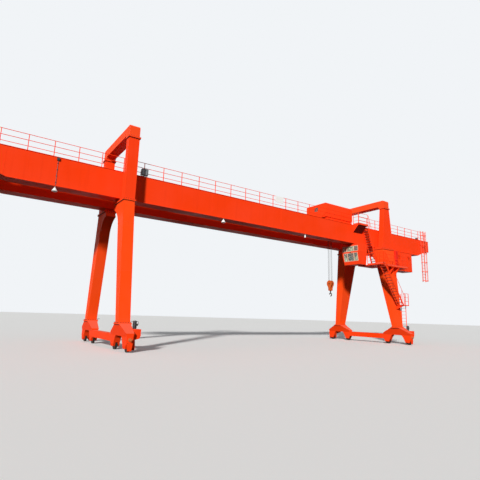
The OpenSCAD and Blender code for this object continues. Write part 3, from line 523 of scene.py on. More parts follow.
def plate_enamel(name, hex_colour, gloss=0.42, chequered=False):
    """Alkyd enamel rolled on welded steel plate: a coat that follows the faint waves of the plate,
    chalked by the sun in broad patches, with rain streaks that run down it and dust on top. On
    chequered plate the raised lozenges catch the light."""
    material, tree = new_material(name)
    base = linear(hex_colour)
    chalked = tuple(min(1.0, c * 1.03 + 0.012) for c in base[:3]) + (1.0,)
    grimy = tuple(c * f for c, f in zip(base[:3], (0.76, 0.58, 0.6))) + (1.0,)
    # Chalk in patches 2.2 m across, and streaks of rain 154 mm wide and 3.5 m long
    sun = film(tree, base, chalked, 2222, (0.38, 0.72), 0.6, 3.0, 0.55)
    rain = film(tree, sun, grimy, 153.85, (0.52, 0.78), 0.2, 5.0, 0.62, 3496.5)
    # Upper faces gather pale dust
    normal = add_node(tree, "ShaderNodeNewGeometry").outputs["Normal"]
    upward = add_node(tree, "ShaderNodeSeparateXYZ", {"Vector": normal}).outputs["Z"]
    lying = add_node(tree, "ShaderNodeMapRange", {
        "Value": upward, "From Min": 0.6, "From Max": 1.0, "To Min": 0.0, "To Max": 0.25})
    dust = add_node(tree, "ShaderNodeMix", {
        "Factor": lying.outputs["Result"], "A": rain, "B": linear("#D9A48C")}, data_type="RGBA")
    # Grit in the coat, drawn at 62.5 mm, since the real grain of some 2 mm is too fine to show
    colour = film(tree, dust.outputs["Result"], grimy, 62.5, (0.55, 0.8), 0.16, 6.0, 0.7)
    # Waves of the thin plate between its stiffeners at 1.1 m, and the roller texture at 40 mm,
    # since the real 3 mm is too fine to show
    relief = None
    for size_mm, detail, strength, depth in ((1111, 1.0, 0.25, 0.02), (40, 2.0, 0.08, 0.004)):
        inputs = {"Height": pattern(tree, size_mm, (0.0, 1.0), (0.0, 1.0), detail),
                  "Strength": strength, "Distance": depth}
        if relief:
            inputs["Normal"] = relief
        relief = add_node(tree, "ShaderNodeBump", inputs).outputs["Normal"]
    if chequered:
        # Lozenges 39 mm apart, a little coarser than the real 30 mm so that they show. At scale 1 a
        # wave texture repeats every tenth of pi
        place = add_node(tree, "ShaderNodeTexCoord").outputs["Object"]
        bars = []
        for angle in (45, -45):
            turned = add_node(tree, "ShaderNodeMapping", {
                "Vector": place, "Rotation": (0.0, 0.0, math.radians(angle))}).outputs["Vector"]
            bars.append(add_node(tree, "ShaderNodeTexWave", {
                "Vector": turned, "Scale": 100 * math.pi / 39.27}).outputs["Fac"])
        lozenge = add_node(tree, "ShaderNodeMath", {0: bars[0], 1: bars[1]}, operation="MAXIMUM")
        raised = add_node(tree, "ShaderNodeMapRange", {
            "Value": lozenge.outputs[0], "From Min": 0.8, "From Max": 0.95, "To Min": 0.0, "To Max": 1.0})
        relief = add_node(tree, "ShaderNodeBump", {
            "Height": raised.outputs["Result"], "Strength": 0.8, "Distance": 0.003,
            "Normal": relief}).outputs["Normal"]
    shade(tree, {
        "Base Color": colour, "Normal": relief, "IOR": 1.5, "Specular IOR Level": 0.03,
        "Roughness": pattern(tree, 2222, (0.3, 0.7), (gloss - 0.06, gloss + 0.14), 3.0, 0.55)})
    return material


def smooth_enamel(name, hex_colour, roughness, dust=0.36):
    """Stoved enamel on pressed sheet or castings, or smooth glass that nothing shows through: an
    even coat with faint dust in patches of 167 mm. The dark panes made with it are painted shade of the room
    behind them."""
    material, tree = new_material(name)
    colour = film(tree, linear(hex_colour), linear("#8A8074"), 166.67, (0.45, 0.8), dust, 5.0, 0.65)
    shade(tree, {"Base Color": colour, "Roughness": roughness, "IOR": 1.5})
    return material


def bare_steel(name, hex_colour, roughness, size_mm):
    """Rolled, cast or forged steel: grey metal under a brown film in patches of a real size,
    brighter where it is worn."""
    material, tree = new_material(name)
    shade(tree, {
        "Base Color": film(tree, linear(hex_colour), linear("#4E3526"), size_mm, (0.35, 0.7), 0.8, 6.0, 0.6),
        "Roughness": pattern(tree, size_mm, (0.3, 0.7), (roughness, roughness + 0.25), 6.0, 0.6),
        "Metallic": 0.85})
    return material


def matt_skin(name, hex_colour, bloom_hex, roughness):
    """Moulded rubber, cast polyurethane, treads darkened as painted shade, or bleached cotton: a skin with no
    gloss and a bloom that the weather left in patches of 56 mm. The weave is too
    fine to show."""
    material, tree = new_material(name)
    colour = film(tree, linear(hex_colour), linear(bloom_hex), 55.556, (0.45, 0.75), 0.7, 4.0)
    shade(tree, {"Base Color": colour, "Roughness": roughness, "IOR": 1.52})
    return material


def float_glass(name, hex_colour):
    """Flat float glass: clear with a faint green tint and a light film of dust, 333 mm across."""
    material, tree = new_material(name)
    shade(tree, {
        "Base Color": linear(hex_colour), "Transmission Weight": 0.85, "IOR": 1.5,
        "Roughness": pattern(tree, 333.33, (0.3, 0.8), (0.03, 0.2), 4.0)})
    return material


def wire_rope(name, hex_colour):
    """Stranded steel wire, greased in patches of 33 mm: dark, with a dull shine on the crowns of
    the wires."""
    material, tree = new_material(name)
    colour = film(tree, linear(hex_colour), linear("#23201D"), 33.333, (0.0, 1.0), 1.0, 3.0)
    shade(tree, {"Base Color": colour, "Metallic": 0.7, "Roughness": 0.5})
    return material


PAINT_OF = {
    "girder": ["front_girder", "rear_girder", "left_end_beam", "right_end_beam", "front_railing",
               "landing_railing"] + [f"{corner}_column" for corner in CORNERS],
    "arch": ["left_arch", "right_arch"],
    "leg": [f"{corner}_leg" for corner in CORNERS],
    "block": ["hook_block"],
    "gear": ["left_sill_beam", "right_sill_beam", "left_travel_drives", "right_travel_drives",
             "rail_guards"] + [f"{corner}_saddle" for corner in CORNERS],
    "cabin": ["cab_body", "cab_door", "electrical_room", "trolley_frame", "trolley_house", "upper_stair",
              "middle_stair"],
    "deck": ["service_landing", "upper_platform"],
    "railing": ["rear_railing", "platform_railing", "end_ladder", "lower_ladder"],
    "dark": ["floodlight", "travel_motors", "operator_seat"],
    "white": ["girder_lamps", "sign_board"],
    "rail": ["trolley_rails"],
    "iron": ["trolley_drive_wheels", "trolley_idle_wheels", "block_sheaves"]
    + [f"{corner}_{place}_wheel" for corner in CORNERS for place in ("outer", "inner")],
    "hook": ["hook"],
    "rope": ["hoist_ropes"],
    "buffer": ["travel_buffers"],
    "glass": ["cab_windows"],
}


class CRANE_OT_paint(bpy.types.Operator):
    """Make the finishes and put them on the steelwork"""
    bl_idname = "crane.paint"
    bl_label = "Paint the steelwork"

    def execute(self, context):
        paint = context.scene.crane_paint
        MATERIALS.update({
            "girder": plate_enamel("Alkyd enamel, rolled on girder plate", paint.girder_hex),
            "arch": plate_enamel("Alkyd enamel, bleached on arch plate", paint.arch_hex, 0.48),
            # The leg enamel is partly sun-faded and partly lightened as painted sunlight
            "leg": plate_enamel("Alkyd enamel, sun-faded on leg plate", paint.leg_faded_lit_hex, 0.46),
            "gear": plate_enamel("Alkyd enamel, brushed on travel gear", paint.gear_hex, 0.48),
            "block": plate_enamel("Alkyd enamel, greasy on the hook block", paint.block_hex, 0.5),
            "frame": smooth_enamel("Pale enamel on window frames", paint.frame_hex, 0.4, 0.12),
            "cabin": plate_enamel("Alkyd enamel, sprayed on sheet housings", paint.cabin_hex, 0.4),
            # The duct enamel is deepened as painted shadow of the leg on the room
            "duct": plate_enamel("Alkyd enamel on the cable duct, deepened as painted shadow", paint.duct_shadow_hex, 0.5),
            # Painted shade: this dark red plate stands in for the shade under the upper platform
            "platform_shade": plate_enamel("Dark red enamel on plate, painted shade under the platform", paint.platform_shade_hex, 0.6),
            "deck": plate_enamel("Alkyd enamel, brushed on chequered plate", paint.cabin_hex, 0.5, True),
            "railing": plate_enamel("Alkyd enamel, brushed on square tube", paint.railing_hex, 0.5),
            "dark": smooth_enamel("Dark stoved enamel on castings", paint.dark_hex, 0.45),
            "white": smooth_enamel("White stoved enamel on sheet", paint.white_hex, 0.35, 0.15),
            # Opaque dark glass whose colour is painted shade of the room behind it
            "shade_glass": smooth_enamel("Dusty dark glass, painted shade of the room behind", "#15191C", 0.1, 0.15),
            "reflector": smooth_enamel("Silvered reflector behind glass", "#9AA0A3", 0.12, 0.15),
            "opal": smooth_enamel("Opal glass of a lamp bulb", "#F7F4EA", 0.15, 0.06),
            "rail": bare_steel("Rolled rail steel, worn on the head", paint.rail_hex, 0.32, 111.11),
            "iron": bare_steel("Cast iron, oiled and dusty", paint.iron_hex, 0.48, 71.429),
            "tread": matt_skin("Expanded steel treads, dusty, darkened as painted shade", paint.tread_shade_hex, "#4A1A10", 0.75),
            "blind": matt_skin(
                "Woven cotton of a roller blind, sun-bleached", paint.blind_hex, "#F2E4C0", 0.85),
            "bolt": bare_steel("Blackened steel bolts", paint.iron_hex, 0.55, 50),
            "hook": bare_steel("Forged steel, oiled", paint.iron_hex, 0.4, 83.333),
            "rope": wire_rope("Wire rope, greased strands", paint.rope_hex),
            "rubber": matt_skin("Moulded rubber, weathered", paint.rubber_hex, "#34322F", 0.78),
            "buffer": matt_skin("Cast polyurethane, sun-darkened", paint.buffer_hex, "#A9542B", 0.42),
            "glass": float_glass("Float glass, lightly dusty", paint.glass_hex),
        })
        for finish, nodes in PAINT_OF.items():
            for name in nodes:
                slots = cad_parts[name].data.materials
                for index in range(len(slots)):
                    slots[index] = MATERIALS[finish]
        return {"FINISHED"}


# Helpers for bolts and welds

def bolt_ring(mesh, outline, joint, across, pitch):
    """Bolts round a pair of joint plates: heads on the upper plate, nuts under the lower one."""
    lo, hi = corner_box(outline)
    edge = JOINT_LIP / 2
    xs, ys = (lo.x + edge, hi.x - edge), (lo.y + edge, hi.y - edge)
    places = [(x, y) for y in ys for x in spread(xs[0], xs[1], pitch)]
    places += [(x, y) for x in xs for y in spread(ys[0], ys[1], pitch)[1:-1]]
    for x, y in places:
        add_bolt(mesh, (x, y, joint + JOINT_PLATE), UP, across, across * HEAD_HEIGHT)
        add_bolt(mesh, (x, y, joint - JOINT_PLATE), -UP, across, across * NUT_HEIGHT)


def bolts_inside(mesh, outline, direction, across, inset, pitch):
    """Small bolts that follow an outline, moved in from its edge and standing along a direction."""
    middle = sum(outline, Vector()) / len(outline)
    for i, point in enumerate(outline):
        before = outline[i - 1]
        if (point - before).length < pitch / 2:
            continue
        for step in spread(0.0, 1.0, pitch / (point - before).length)[:-1]:
            place = before.lerp(point, step)
            place += (middle - place).normalized() * inset
            add_bolt(mesh, place, direction, across, across * NUT_HEIGHT)


def bolt_circle(mesh, centre, direction, radius, count, across):
    """Small bolts in a circle round a point of a face."""
    turn = Vector(direction).to_track_quat("Z", "Y")
    for x, y in ring_outline(radius, count, math.pi / count):
        add_bolt(mesh, Vector(centre) + turn @ Vector((x, y, 0)), direction, across, across * NUT_HEIGHT)


def ring_bead(mesh, node, point, normal, radius):
    """A weld bead round a node, where a plane cuts it."""
    for outline in section(node, point, normal):
        add_tube(mesh, outline, radius, 6, closed=True)


def corner_beads(mesh, node, heights, radius):
    """Weld beads up the corners of a box column, through its outlines at some heights."""
    outlines = [section(node, (0, 0, z), UP)[0] for z in heights]
    for corner in outlines[0]:
        line = [corner]
        for outline in outlines[1:]:
            line.append(min(outline, key=lambda p: (p - line[-1]).length))
        add_tube(mesh, line, radius, 6)


# Steps that dress the steelwork

class CRANE_OT_bolts(bpy.types.Operator):
    """Bolt the joint plates of legs, columns, arches and saddles"""
    bl_idname = "crane.bolts"
    bl_label = "Bolt the joints"

    def execute(self, context):
        work = context.scene.crane_steelwork
        for side in SIDES:
            mesh = bmesh.new()
            for end in ENDS:
                column, leg = f"{side}_{end}_column", f"{side}_{end}_leg"
                # The level tells which of the two plates is cut for the outline
                joints = ((column, LEG_HEAD, 0.5), (column, ARCH_FOOT, -0.5), (leg, LEG_FOOT, 0.5))
                for node, joint, level in joints:
                    for outline in section(node, (0, 0, joint + level * JOINT_PLATE), UP):
                        bolt_ring(mesh, outline, joint, work.bolt_across, work.bolt_pitch)
            new_piece(f"{side}_joint_bolts", mesh, "bolt")
        return {"FINISHED"}


class CRANE_OT_welds(bpy.types.Operator):
    """Lay the weld beads of the girders, legs, columns and arches"""
    bl_idname = "crane.welds"
    bl_label = "Weld the plates"

    def weld_girder(self, end, work):
        """Seams across a girder, and fillets between its webs and flanges."""
        node = f"{end}_girder"
        lo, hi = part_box(node)
        mesh = bmesh.new()
        reach = 3 * work.plate_length
        for x in spread(-reach, reach, work.plate_length):
            ring_bead(mesh, node, (x, 0, 0), (1, 0, 0), work.bead)
        # The belly is the lower edge with its tapered ends
        profile = section(node, (0, (lo.y + hi.y) / 2, 0), (0, 1, 0))[0]
        belly = sorted((p for p in profile if p.z < hi.z - 0.1), key=lambda p: p.x)
        for y in (lo.y + FLANGE_LIP, hi.y - FLANGE_LIP):
            add_tube(mesh, [(p.x, y, p.z + FLANGE) for p in belly], work.bead, 6)
            add_tube(mesh, [(lo.x, y, hi.z - FLANGE), (hi.x, y, hi.z - FLANGE)], work.bead, 6)
        new_piece(f"{end}_girder_welds", mesh, "girder", smooth=True)

    def execute(self, context):
        work = context.scene.crane_steelwork
        bead = work.bead
        for end in ENDS:
            self.weld_girder(end, work)
        foot, head = LEG_FOOT + JOINT_PLATE + bead, LEG_HEAD - JOINT_PLATE - bead
        column_foot, column_head = LEG_HEAD + JOINT_PLATE + bead, ARCH_FOOT - JOINT_PLATE - bead
        for side in SIDES:
            mesh = bmesh.new()
            for end in ENDS:
                leg, column = f"{side}_{end}_leg", f"{side}_{end}_column"
                corner_beads(mesh, leg, (foot, KNEE, head), bead)
                for z in (foot, (LEG_FOOT + KNEE) / 2, KNEE, head):
                    ring_bead(mesh, leg, (0, 0, z), UP, bead)
                corner_beads(mesh, column, (GIRDER_BOTTOM + bead, column_head), bead)
                for z in (column_foot, column_head):
                    ring_bead(mesh, column, (0, 0, z), UP, bead)
            new_piece(f"{side}_leg_welds", mesh, "leg", smooth=True)
            mesh = bmesh.new()
            for y in ARCH_SEAMS_Y:
                ring_bead(mesh, f"{side}_arch", (0, y, 0), (0, 1, 0), bead)
            new_piece(f"{side}_arch_welds", mesh, "arch", smooth=True)
        return {"FINISHED"}


class CRANE_OT_rail_clips(bpy.types.Operator):
    """Clamp the trolley rails to the girders with bolted clips"""
    bl_idname = "crane.rail_clips"
    bl_label = "Clamp the rails"

    def execute(self, context):
        work = context.scene.crane_steelwork
        mesh = bmesh.new()
        # From a rail's end to its first clip, and the clip's reach, half width and thickness
        first, reach, half, thick = 0.3, 0.06, 0.035, 0.014
        # The short solids of this node are the end stops
        rails = [box for box in solid_boxes("trolley_rails") if box[1].x - box[0].x >= 1.0]
        for lo, hi in rails:
            for x in spread(lo.x + first, hi.x - first, work.clip_pitch):
                for y, way in ((lo.y, -1), (hi.y, 1)):
                    near, far = sorted((y, y + way * reach))
                    add_box(mesh, (x - half, near, lo.z), (x + half, far, lo.z + thick), 0.003)
                    add_bolt(mesh, (x, y + way * 0.034, lo.z + thick), UP, 0.026, 0.02)
        new_piece("rail_clips", mesh, "bolt")
        return {"FINISHED"}


class CRANE_OT_walkways(bpy.types.Operator):
    """Add post feet, toe boards and stair treads, and close the upper platform from below; the treads and the
    closing plate are darker red, as painted shade
    """
    bl_idname = "crane.walkways"
    bl_label = "Finish the walkways"

    def execute(self, context):
        work = context.scene.crane_steelwork
        feet = bmesh.new()
        bolts = bmesh.new()
        lip, thick = Vector((0.02, 0.02, 0.0)), 0.008
        for node, deck in DECK_OF.items():
            for outline in section(node, (0, 0, deck + 0.06), UP):
                lo, hi = corner_box(outline)
                # Wider outlines are bars, not posts
                if (hi - lo).length > 0.15:
                    continue
                lo.z = hi.z = deck
                add_box(feet, lo - lip, hi + lip + UP * thick)
                for corner in (lo - lip / 2, hi + lip / 2):
                    add_bolt(bolts, corner + UP * thick, UP, 0.014, 0.01)
        for node in ("landing_railing", "platform_railing"):
            for outline in section(node, (0, 0, high(node).z - 0.01), UP):
                add_slab(feet, [(p.x, p.y, DECK_OF[node]) for p in outline], (0, 0, work.toe_board))

        # Closing plate under the sloped brackets of the upper platform: a dark red sheet that paints the
        # shade under the platform
        plate = bmesh.new()
        lo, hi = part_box("upper_platform")
        front, back = Vector((lo.x, lo.y + 0.04, hi.z - 0.065)), Vector((lo.x, hi.y - 0.03, lo.z + 0.02))
        width = Vector((hi.x - 0.2 - lo.x, 0, 0))
        add_slab(plate, (front, front + width, back + width, back), (0, -0.005, -0.005))
        new_piece("platform_shade_plate", plate, "platform_shade")

        # Open steel mats on the treads of the two stairs, in a darker red that paints the shade on the treads
        mats = bmesh.new()
        # How far a mat stands proud of its tread
        side, below, above = 0.004, 0.003, 0.004
        for node, (y0, y1) in TREADS_OF.items():
            for outline in section(node, (0, (y0 + y1) / 2, 0), (0, 1, 0)):
                lo, hi = corner_box(outline)
                if hi.x - lo.x < 0.2 and hi.z - lo.z < 0.05:
                    add_box(mats, (lo.x - side, y0, lo.z - below), (hi.x + side, y1, hi.z + above))
        new_piece("stair_shade_mats", mats, "tread")
        new_piece("railing_feet", feet, "railing")
        new_piece("railing_bolts", bolts, "bolt")
        return {"FINISHED"}


def add_frame(mesh, outline, normal, width):
    """A flat mitred frame round a pane."""
    middle = sum(outline, Vector()) / len(outline)
    outer = []
    for i, point in enumerate(outline):
        back = (point - outline[i - 1]).normalized()
        ahead = (outline[(i + 1) % len(outline)] - point).normalized()
        out = (back - ahead) / max(0.2, (1 - back.dot(ahead)))
        outer.append(point + out * width * (1 if out.dot(point - middle) > 0 else -1))
    count = len(outline)
    for i in range(count):
        j = (i + 1) % count
        add_slab(mesh, (outline[i], outline[j], outer[j], outer[i]), normal * 0.01)


class CRANE_OT_cab(bpy.types.Operator):
    """Fit the cab with window seals and frames, a blind, a lining, a wiper, handles and controls"""
    bl_idname = "crane.cab"
    bl_label = "Fit out the cab"

    def fit_windows(self, middle, seals, work):
        """Seals and frames of the panes, the blind behind one and the lining behind two of them."""
        frames, blind, lining = (bmesh.new() for _ in range(3))
        sill = middle.z + CAB_SILL
        faces = pane_faces("cab_windows")
        for outline, normal in faces:
            if normal.dot(outline[0] - middle) > 0:
                add_tube(seals, [p + normal * 0.003 for p in outline], work.seal, 8, closed=True)
                add_frame(frames, [p + normal * 0.014 for p in outline], normal, work.window_frame)
        # Roller blind behind the middle upper pane
        panes = [box for box in solid_boxes("cab_windows") if box[0].z > sill and box[1].x - box[0].x < 0.1]
        lo, hi = panes[len(panes) // 2]
        add_box(blind, (hi.x + 0.02, lo.y, lo.z + 0.02), (hi.x + 0.024, hi.y, hi.z))
        new_piece("cab_blind", blind, "blind")
        # Pale lining inside the two outer lower panes, cut low towards the wiper
        for outline, normal in faces:
            centre = sum(outline, Vector()) / len(outline)
            if normal.x > -0.5 or centre.z > sill or abs(centre.y - middle.y) < 0.1:
                continue
            low_z, top_z = (pick(p.z for p in outline) for pick in (min, max))
            inner, outer = sorted((p for p in outline if p.z - low_z < 0.05),
                                  key=lambda p: abs(p.y - middle.y))
            inner_top, outer_top = (
                next(p for p in outline if p.z > top_z - 0.05 and abs(p.y - foot.y) < 0.1)
                for foot in (inner, outer))
            wedge = (inner, outer, outer.lerp(outer_top, 0.75), inner.lerp(inner_top, 0.3))
            add_slab(lining, [p - normal * 0.03 for p in wedge], normal * 0.006)
        new_piece("cab_lining", lining, "blind")
        new_piece("cab_frames", frames, "frame")

    def fit_controls(self):
        """A lever and six buttons on each console, and a screen on its post."""
        controls = bmesh.new()
        consoles = solid_boxes("operator_seat")[:2]
        for lo, hi in consoles:
            y = (lo.y + hi.y) / 2
            add_lathe(controls, (lo.x + 0.16, y, hi.z), (-0.1, 0, 1), LEVER, 16)
            for i in range(3):
                for j in range(2):
                    place = (lo.x + 0.26 + i * 0.055, y - 0.03 + j * 0.06, hi.z)
                    add_lathe(controls, place, UP, BUTTON, 12)
        right_lo, right_hi = consoles[1]
        y = right_lo.y + 0.1
        add_rod(controls, (SCREEN_X + 0.06, y, right_hi.z), (SCREEN_X, y, SCREEN_Z + 0.06), 0.012, 8)
        add_box(controls, (SCREEN_X - 0.03, y - 0.11, SCREEN_Z), (SCREEN_X, y + 0.11, SCREEN_Z + 0.16), 0.006)
        new_piece("cab_controls", controls, "dark", smooth=True)

    def execute(self, context):
        work = context.scene.crane_steelwork
        lo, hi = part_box("cab_body")
        middle = (lo + hi) / 2
        seals = bmesh.new()
        self.fit_windows(middle, seals, work)
        # Wiper that parks upright on the middle lower pane
        panes = [box for box in solid_boxes("cab_windows") if box[1].z < middle.z + CAB_SILL]
        pane_lo, pane_hi = panes[len(panes) // 2]
        y = (pane_lo.y + pane_hi.y) / 2
        top = Vector((pane_lo.x - 0.03, y, pane_hi.z + 0.06))
        tip = Vector((pane_hi.x - 0.06, y + 0.12, pane_lo.z + 0.16))
        add_box(seals, top + Vector((-0.01, -0.06, -0.035)), top + Vector((0.07, 0.06, 0.035)), 0.006)
        add_tube(seals, [top, top.lerp(tip, 0.9) - Vector((0.01, 0, 0)), tip], 0.006, 6)
        add_rod(seals, top.lerp(tip, 0.35), tip - Vector((0, 0, 0.05)), 0.009, 6)
        # Glass of the door, with its seal. The glass is an opaque dark sheet, painted shade of the cab behind
        # it
        door = high("cab_door")
        z0, z1 = DOOR_GLASS_Z
        leaf = rectangle((door.x + 0.002, door.y - 0.12, z0), (0, 0, z1 - z0), (0, -0.42, 0))
        add_tube(seals, leaf, work.seal, 8, closed=True)
        new_piece("cab_seals", seals, "rubber", smooth=True)
        glass = bmesh.new()
        add_slab(glass, leaf, (0.004, 0, 0))
        new_piece("cab_door_glass", glass, "shade_glass")

        # Grab handle beside the doorway and pull of the door
        handles = bmesh.new()
        for face, y, (z0, z1) in ((hi.x, lo.y + 0.11, GRAB_HANDLE_Z),
                                  (door.x, door.y - 0.6, DOOR_PULL_Z)):
            add_tube(handles, rectangle((face, y, z0), (0.055, 0, 0), (0, 0, z1 - z0)), 0.011, 8)
        new_piece("cab_handles", handles, "railing", smooth=True)
        self.fit_controls()
        return {"FINISHED"}


def add_louvres(mesh, centre, across, out, width, height, count):
    """Slanted slats in a frame on a wall: across runs along them, out stands off the wall."""
    centre, across, out = Vector(centre), Vector(across), Vector(out)
    rim, depth = 0.024, 0.026
    rise = UP * height / count
    # Each slat's corners: a share of the rise, and how far it stands off the wall
    slat = ((-0.4, 0.022), (0.4, 0.002), (0.5, 0.002), (-0.3, 0.024))
    for i in range(count):
        base = centre + UP * ((i + 0.5) / count * height - height / 2) - across * width / 2
        add_slab(mesh, [base + rise * share + out * stand for share, stand in slat], across * width)
    for way in (-1, 1):
        side = centre + across * (way * (width + rim) - rim) / 2 - UP * (height / 2 + rim)
        add_slab(mesh, rectangle(side, across * rim, UP * (height + 2 * rim)), out * depth)
        edge = centre - across * width / 2 + UP * (way * (height + rim) - rim) / 2
        add_slab(mesh, rectangle(edge, across * width, UP * rim), out * depth)


def add_door(mesh, corner, across, out, width, height):
    """A flush steel door with three hinges and a lever handle, set off from its lower corner."""
    corner, across, out = Vector(corner), Vector(across), Vector(out)
    thick = 0.012
    add_slab(mesh, rectangle(corner, across * width, UP * height), out * thick)
    for share in (0.12, 0.5, 0.88):
        base = corner + UP * (height * share - 0.05) + out * thick
        add_rod(mesh, base, base + UP * 0.1, 0.011, 10)
    grip = corner + across * (width - 0.07) + UP * height * 0.48 + out * thick
    add_tube(mesh, [grip, grip + out * 0.045, grip + out * 0.045 - across * 0.11], 0.009, 8)


def add_batten(mesh, x, wall, way, stand, z0, z1):
    """A flat strip over a seam of a wall that faces along Y."""
    near, far = sorted((wall, wall + way * stand))
    add_box(mesh, (x - 0.014, near, z0), (x + 0.014, far, z1), 0.001)


class CRANE_OT_housings(bpy.types.Operator):
    """Finish the electrical room and the trolley house with seams, doors and louvres"""
    bl_idname = "crane.housings"
    bl_label = "Finish the housings"

    def finish_room(self):
        """Door, battens, louvres and duct of the electrical room."""
        lo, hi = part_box("electrical_room")
        drip = 0.03
        face = lo.y + drip
        along, out = (1, 0, 0), (0, -1, 0)
        mesh = bmesh.new()
        add_door(mesh, (lo.x + drip + 0.04, face, lo.z + 0.05), along, out, 0.47, 1.62)
        for x in spread(lo.x + 0.6, hi.x - drip, 0.86)[:-1]:
            add_batten(mesh, x, face, -1, 0.005, lo.z + 0.01, hi.z - drip)
        for x in ROOM_LOUVRES_X:
            add_louvres(mesh, (x, face, ROOM_LOUVRES_Z), along, out, 0.5, 0.26, 6)
        end = (hi.x - drip, (lo.y + hi.y) / 2, ROOM_END_LOUVRE_Z)
        add_louvres(mesh, end, (0, 1, 0), (1, 0, 0), 0.5, 0.3, 6)
        new_piece("room_panels", mesh, "cabin")
        # Cable duct from the room to the girder, with its raised cover. The duct and its deep red stand in
        # for the leg's shadow on the room's front, as painted shadow
        mesh = bmesh.new()
        x0, x1 = DUCT_X
        rim = 0.03
        add_box(mesh, (x0, face - 0.14, lo.z + 0.08), (x1, face, hi.z - 0.04), 0.012)
        add_box(mesh, (x0 + rim, face - 0.15, lo.z + 0.14), (x1 - rim, face - 0.138, hi.z - 0.1), 0.004)
        new_piece("leg_shadow_duct", mesh, "duct")

    def execute(self, context):
        self.finish_room()
        lo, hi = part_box("trolley_house")
        mesh = bmesh.new()
        for x in spread(lo.x + 0.02, hi.x - 0.02, 0.8):
            for y, way in ((lo.y, -1), (hi.y, 1)):
                add_batten(mesh, x, y, way, 0.004, lo.z + 0.02, hi.z - 0.09)
        add_door(mesh, (HOUSE_DOOR_X, hi.y, lo.z + 0.06), (-1, 0, 0), (0, 1, 0), 0.62, 0.98)
        add_louvres(mesh, (hi.x, 0.0, HOUSE_LOUVRE_Z), (0, 1, 0), (1, 0, 0), 0.9, 0.36, 8)
        # Lifting eyes on the roof
        for x in (lo.x + 0.35, hi.x - 0.35):
            for y in (lo.y + 0.3, hi.y - 0.3):
                add_tube(mesh, [(x + a, y, hi.z + b) for a, b in LIFTING_EYE], 0.012, 8)
        new_piece("trolley_panels", mesh, "cabin", "trolley")

        # Glass and guard bars in the window recess. The glass is an opaque dark sheet, painted shade of the
        # house behind it
        (y0, y1), (z0, z1) = HOUSE_WINDOW_Y, HOUSE_WINDOW_Z
        mesh = bmesh.new()
        pane = rectangle((lo.x + 0.02, y0, z0), (0, y1 - y0, 0), (0, 0, z1 - z0))
        add_slab(mesh, pane, (0.004, 0, 0))
        new_piece("trolley_window", mesh, "shade_glass", "trolley")
        mesh = bmesh.new()
        for y in (-0.11, 0.0, 0.11):
            add_rod(mesh, (lo.x + 0.012, y, z0 - 0.005), (lo.x + 0.012, y, z1 + 0.005), 0.006, 8)
        new_piece("trolley_window_bars", mesh, "frame", "trolley", smooth=True)
        return {"FINISHED"}


class CRANE_OT_hook_block(bpy.types.Operator):
    """Fit nuts and bolts to the hook block and a latch to the hook"""
    bl_idname = "crane.hook_block"
    bl_label = "Finish the hook block"

    def execute(self, context):
        lo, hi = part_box("hook_block")
        pin = sum(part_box("block_sheaves"), Vector()) / 2
        # Bolts of a cheek, across and up from its lower edge or its pin
        bolts = [(side, z) for z in (lo.z + 0.05, lo.z + 0.15) for side in (-0.08, 0.08)]
        bolts += [(side, pin.z) for side in (-0.235, 0.235)]
        mesh = bmesh.new()
        for x, way in ((lo.x, -1), (hi.x, 1)):
            add_rod(mesh, (x, pin.y, pin.z), (x + way * 0.018, pin.y, pin.z), 0.055, 6)
            for side, z in bolts:
                add_bolt(mesh, (x, pin.y + side, z), (way, 0, 0), 0.026, 0.016)
        new_piece("block_bolts", mesh, "bolt", "hook_block_body")

        # Sprung safety latch from the shank to the tip of the hook
        lo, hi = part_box("hook")
        x = (lo.x + hi.x) / 2
        z = lo.z + 0.16
        mesh = bmesh.new()
        for side in (-0.018, 0.018):
            line = [(x + 0.03, side, z + 0.14), (x + 0.075, side, z + 0.085), (hi.x - 0.055, side, z + 0.02)]
            add_tube(mesh, line, 0.006, 8)
        add_rod(mesh, (x + 0.035, -0.05, z + 0.135), (x + 0.035, 0.05, z + 0.135), 0.01, 10)
        half = 0.024
        add_slab(mesh, [(x + 0.05, -half, z + 0.112), (x + 0.05, half, z + 0.112),
                        (hi.x - 0.06, half, z + 0.026), (hi.x - 0.06, -half, z + 0.026)], (0.004, 0, 0.004))
        new_piece("hook_latch", mesh, "hook", "hook_body", smooth=True)
        return {"FINISHED"}


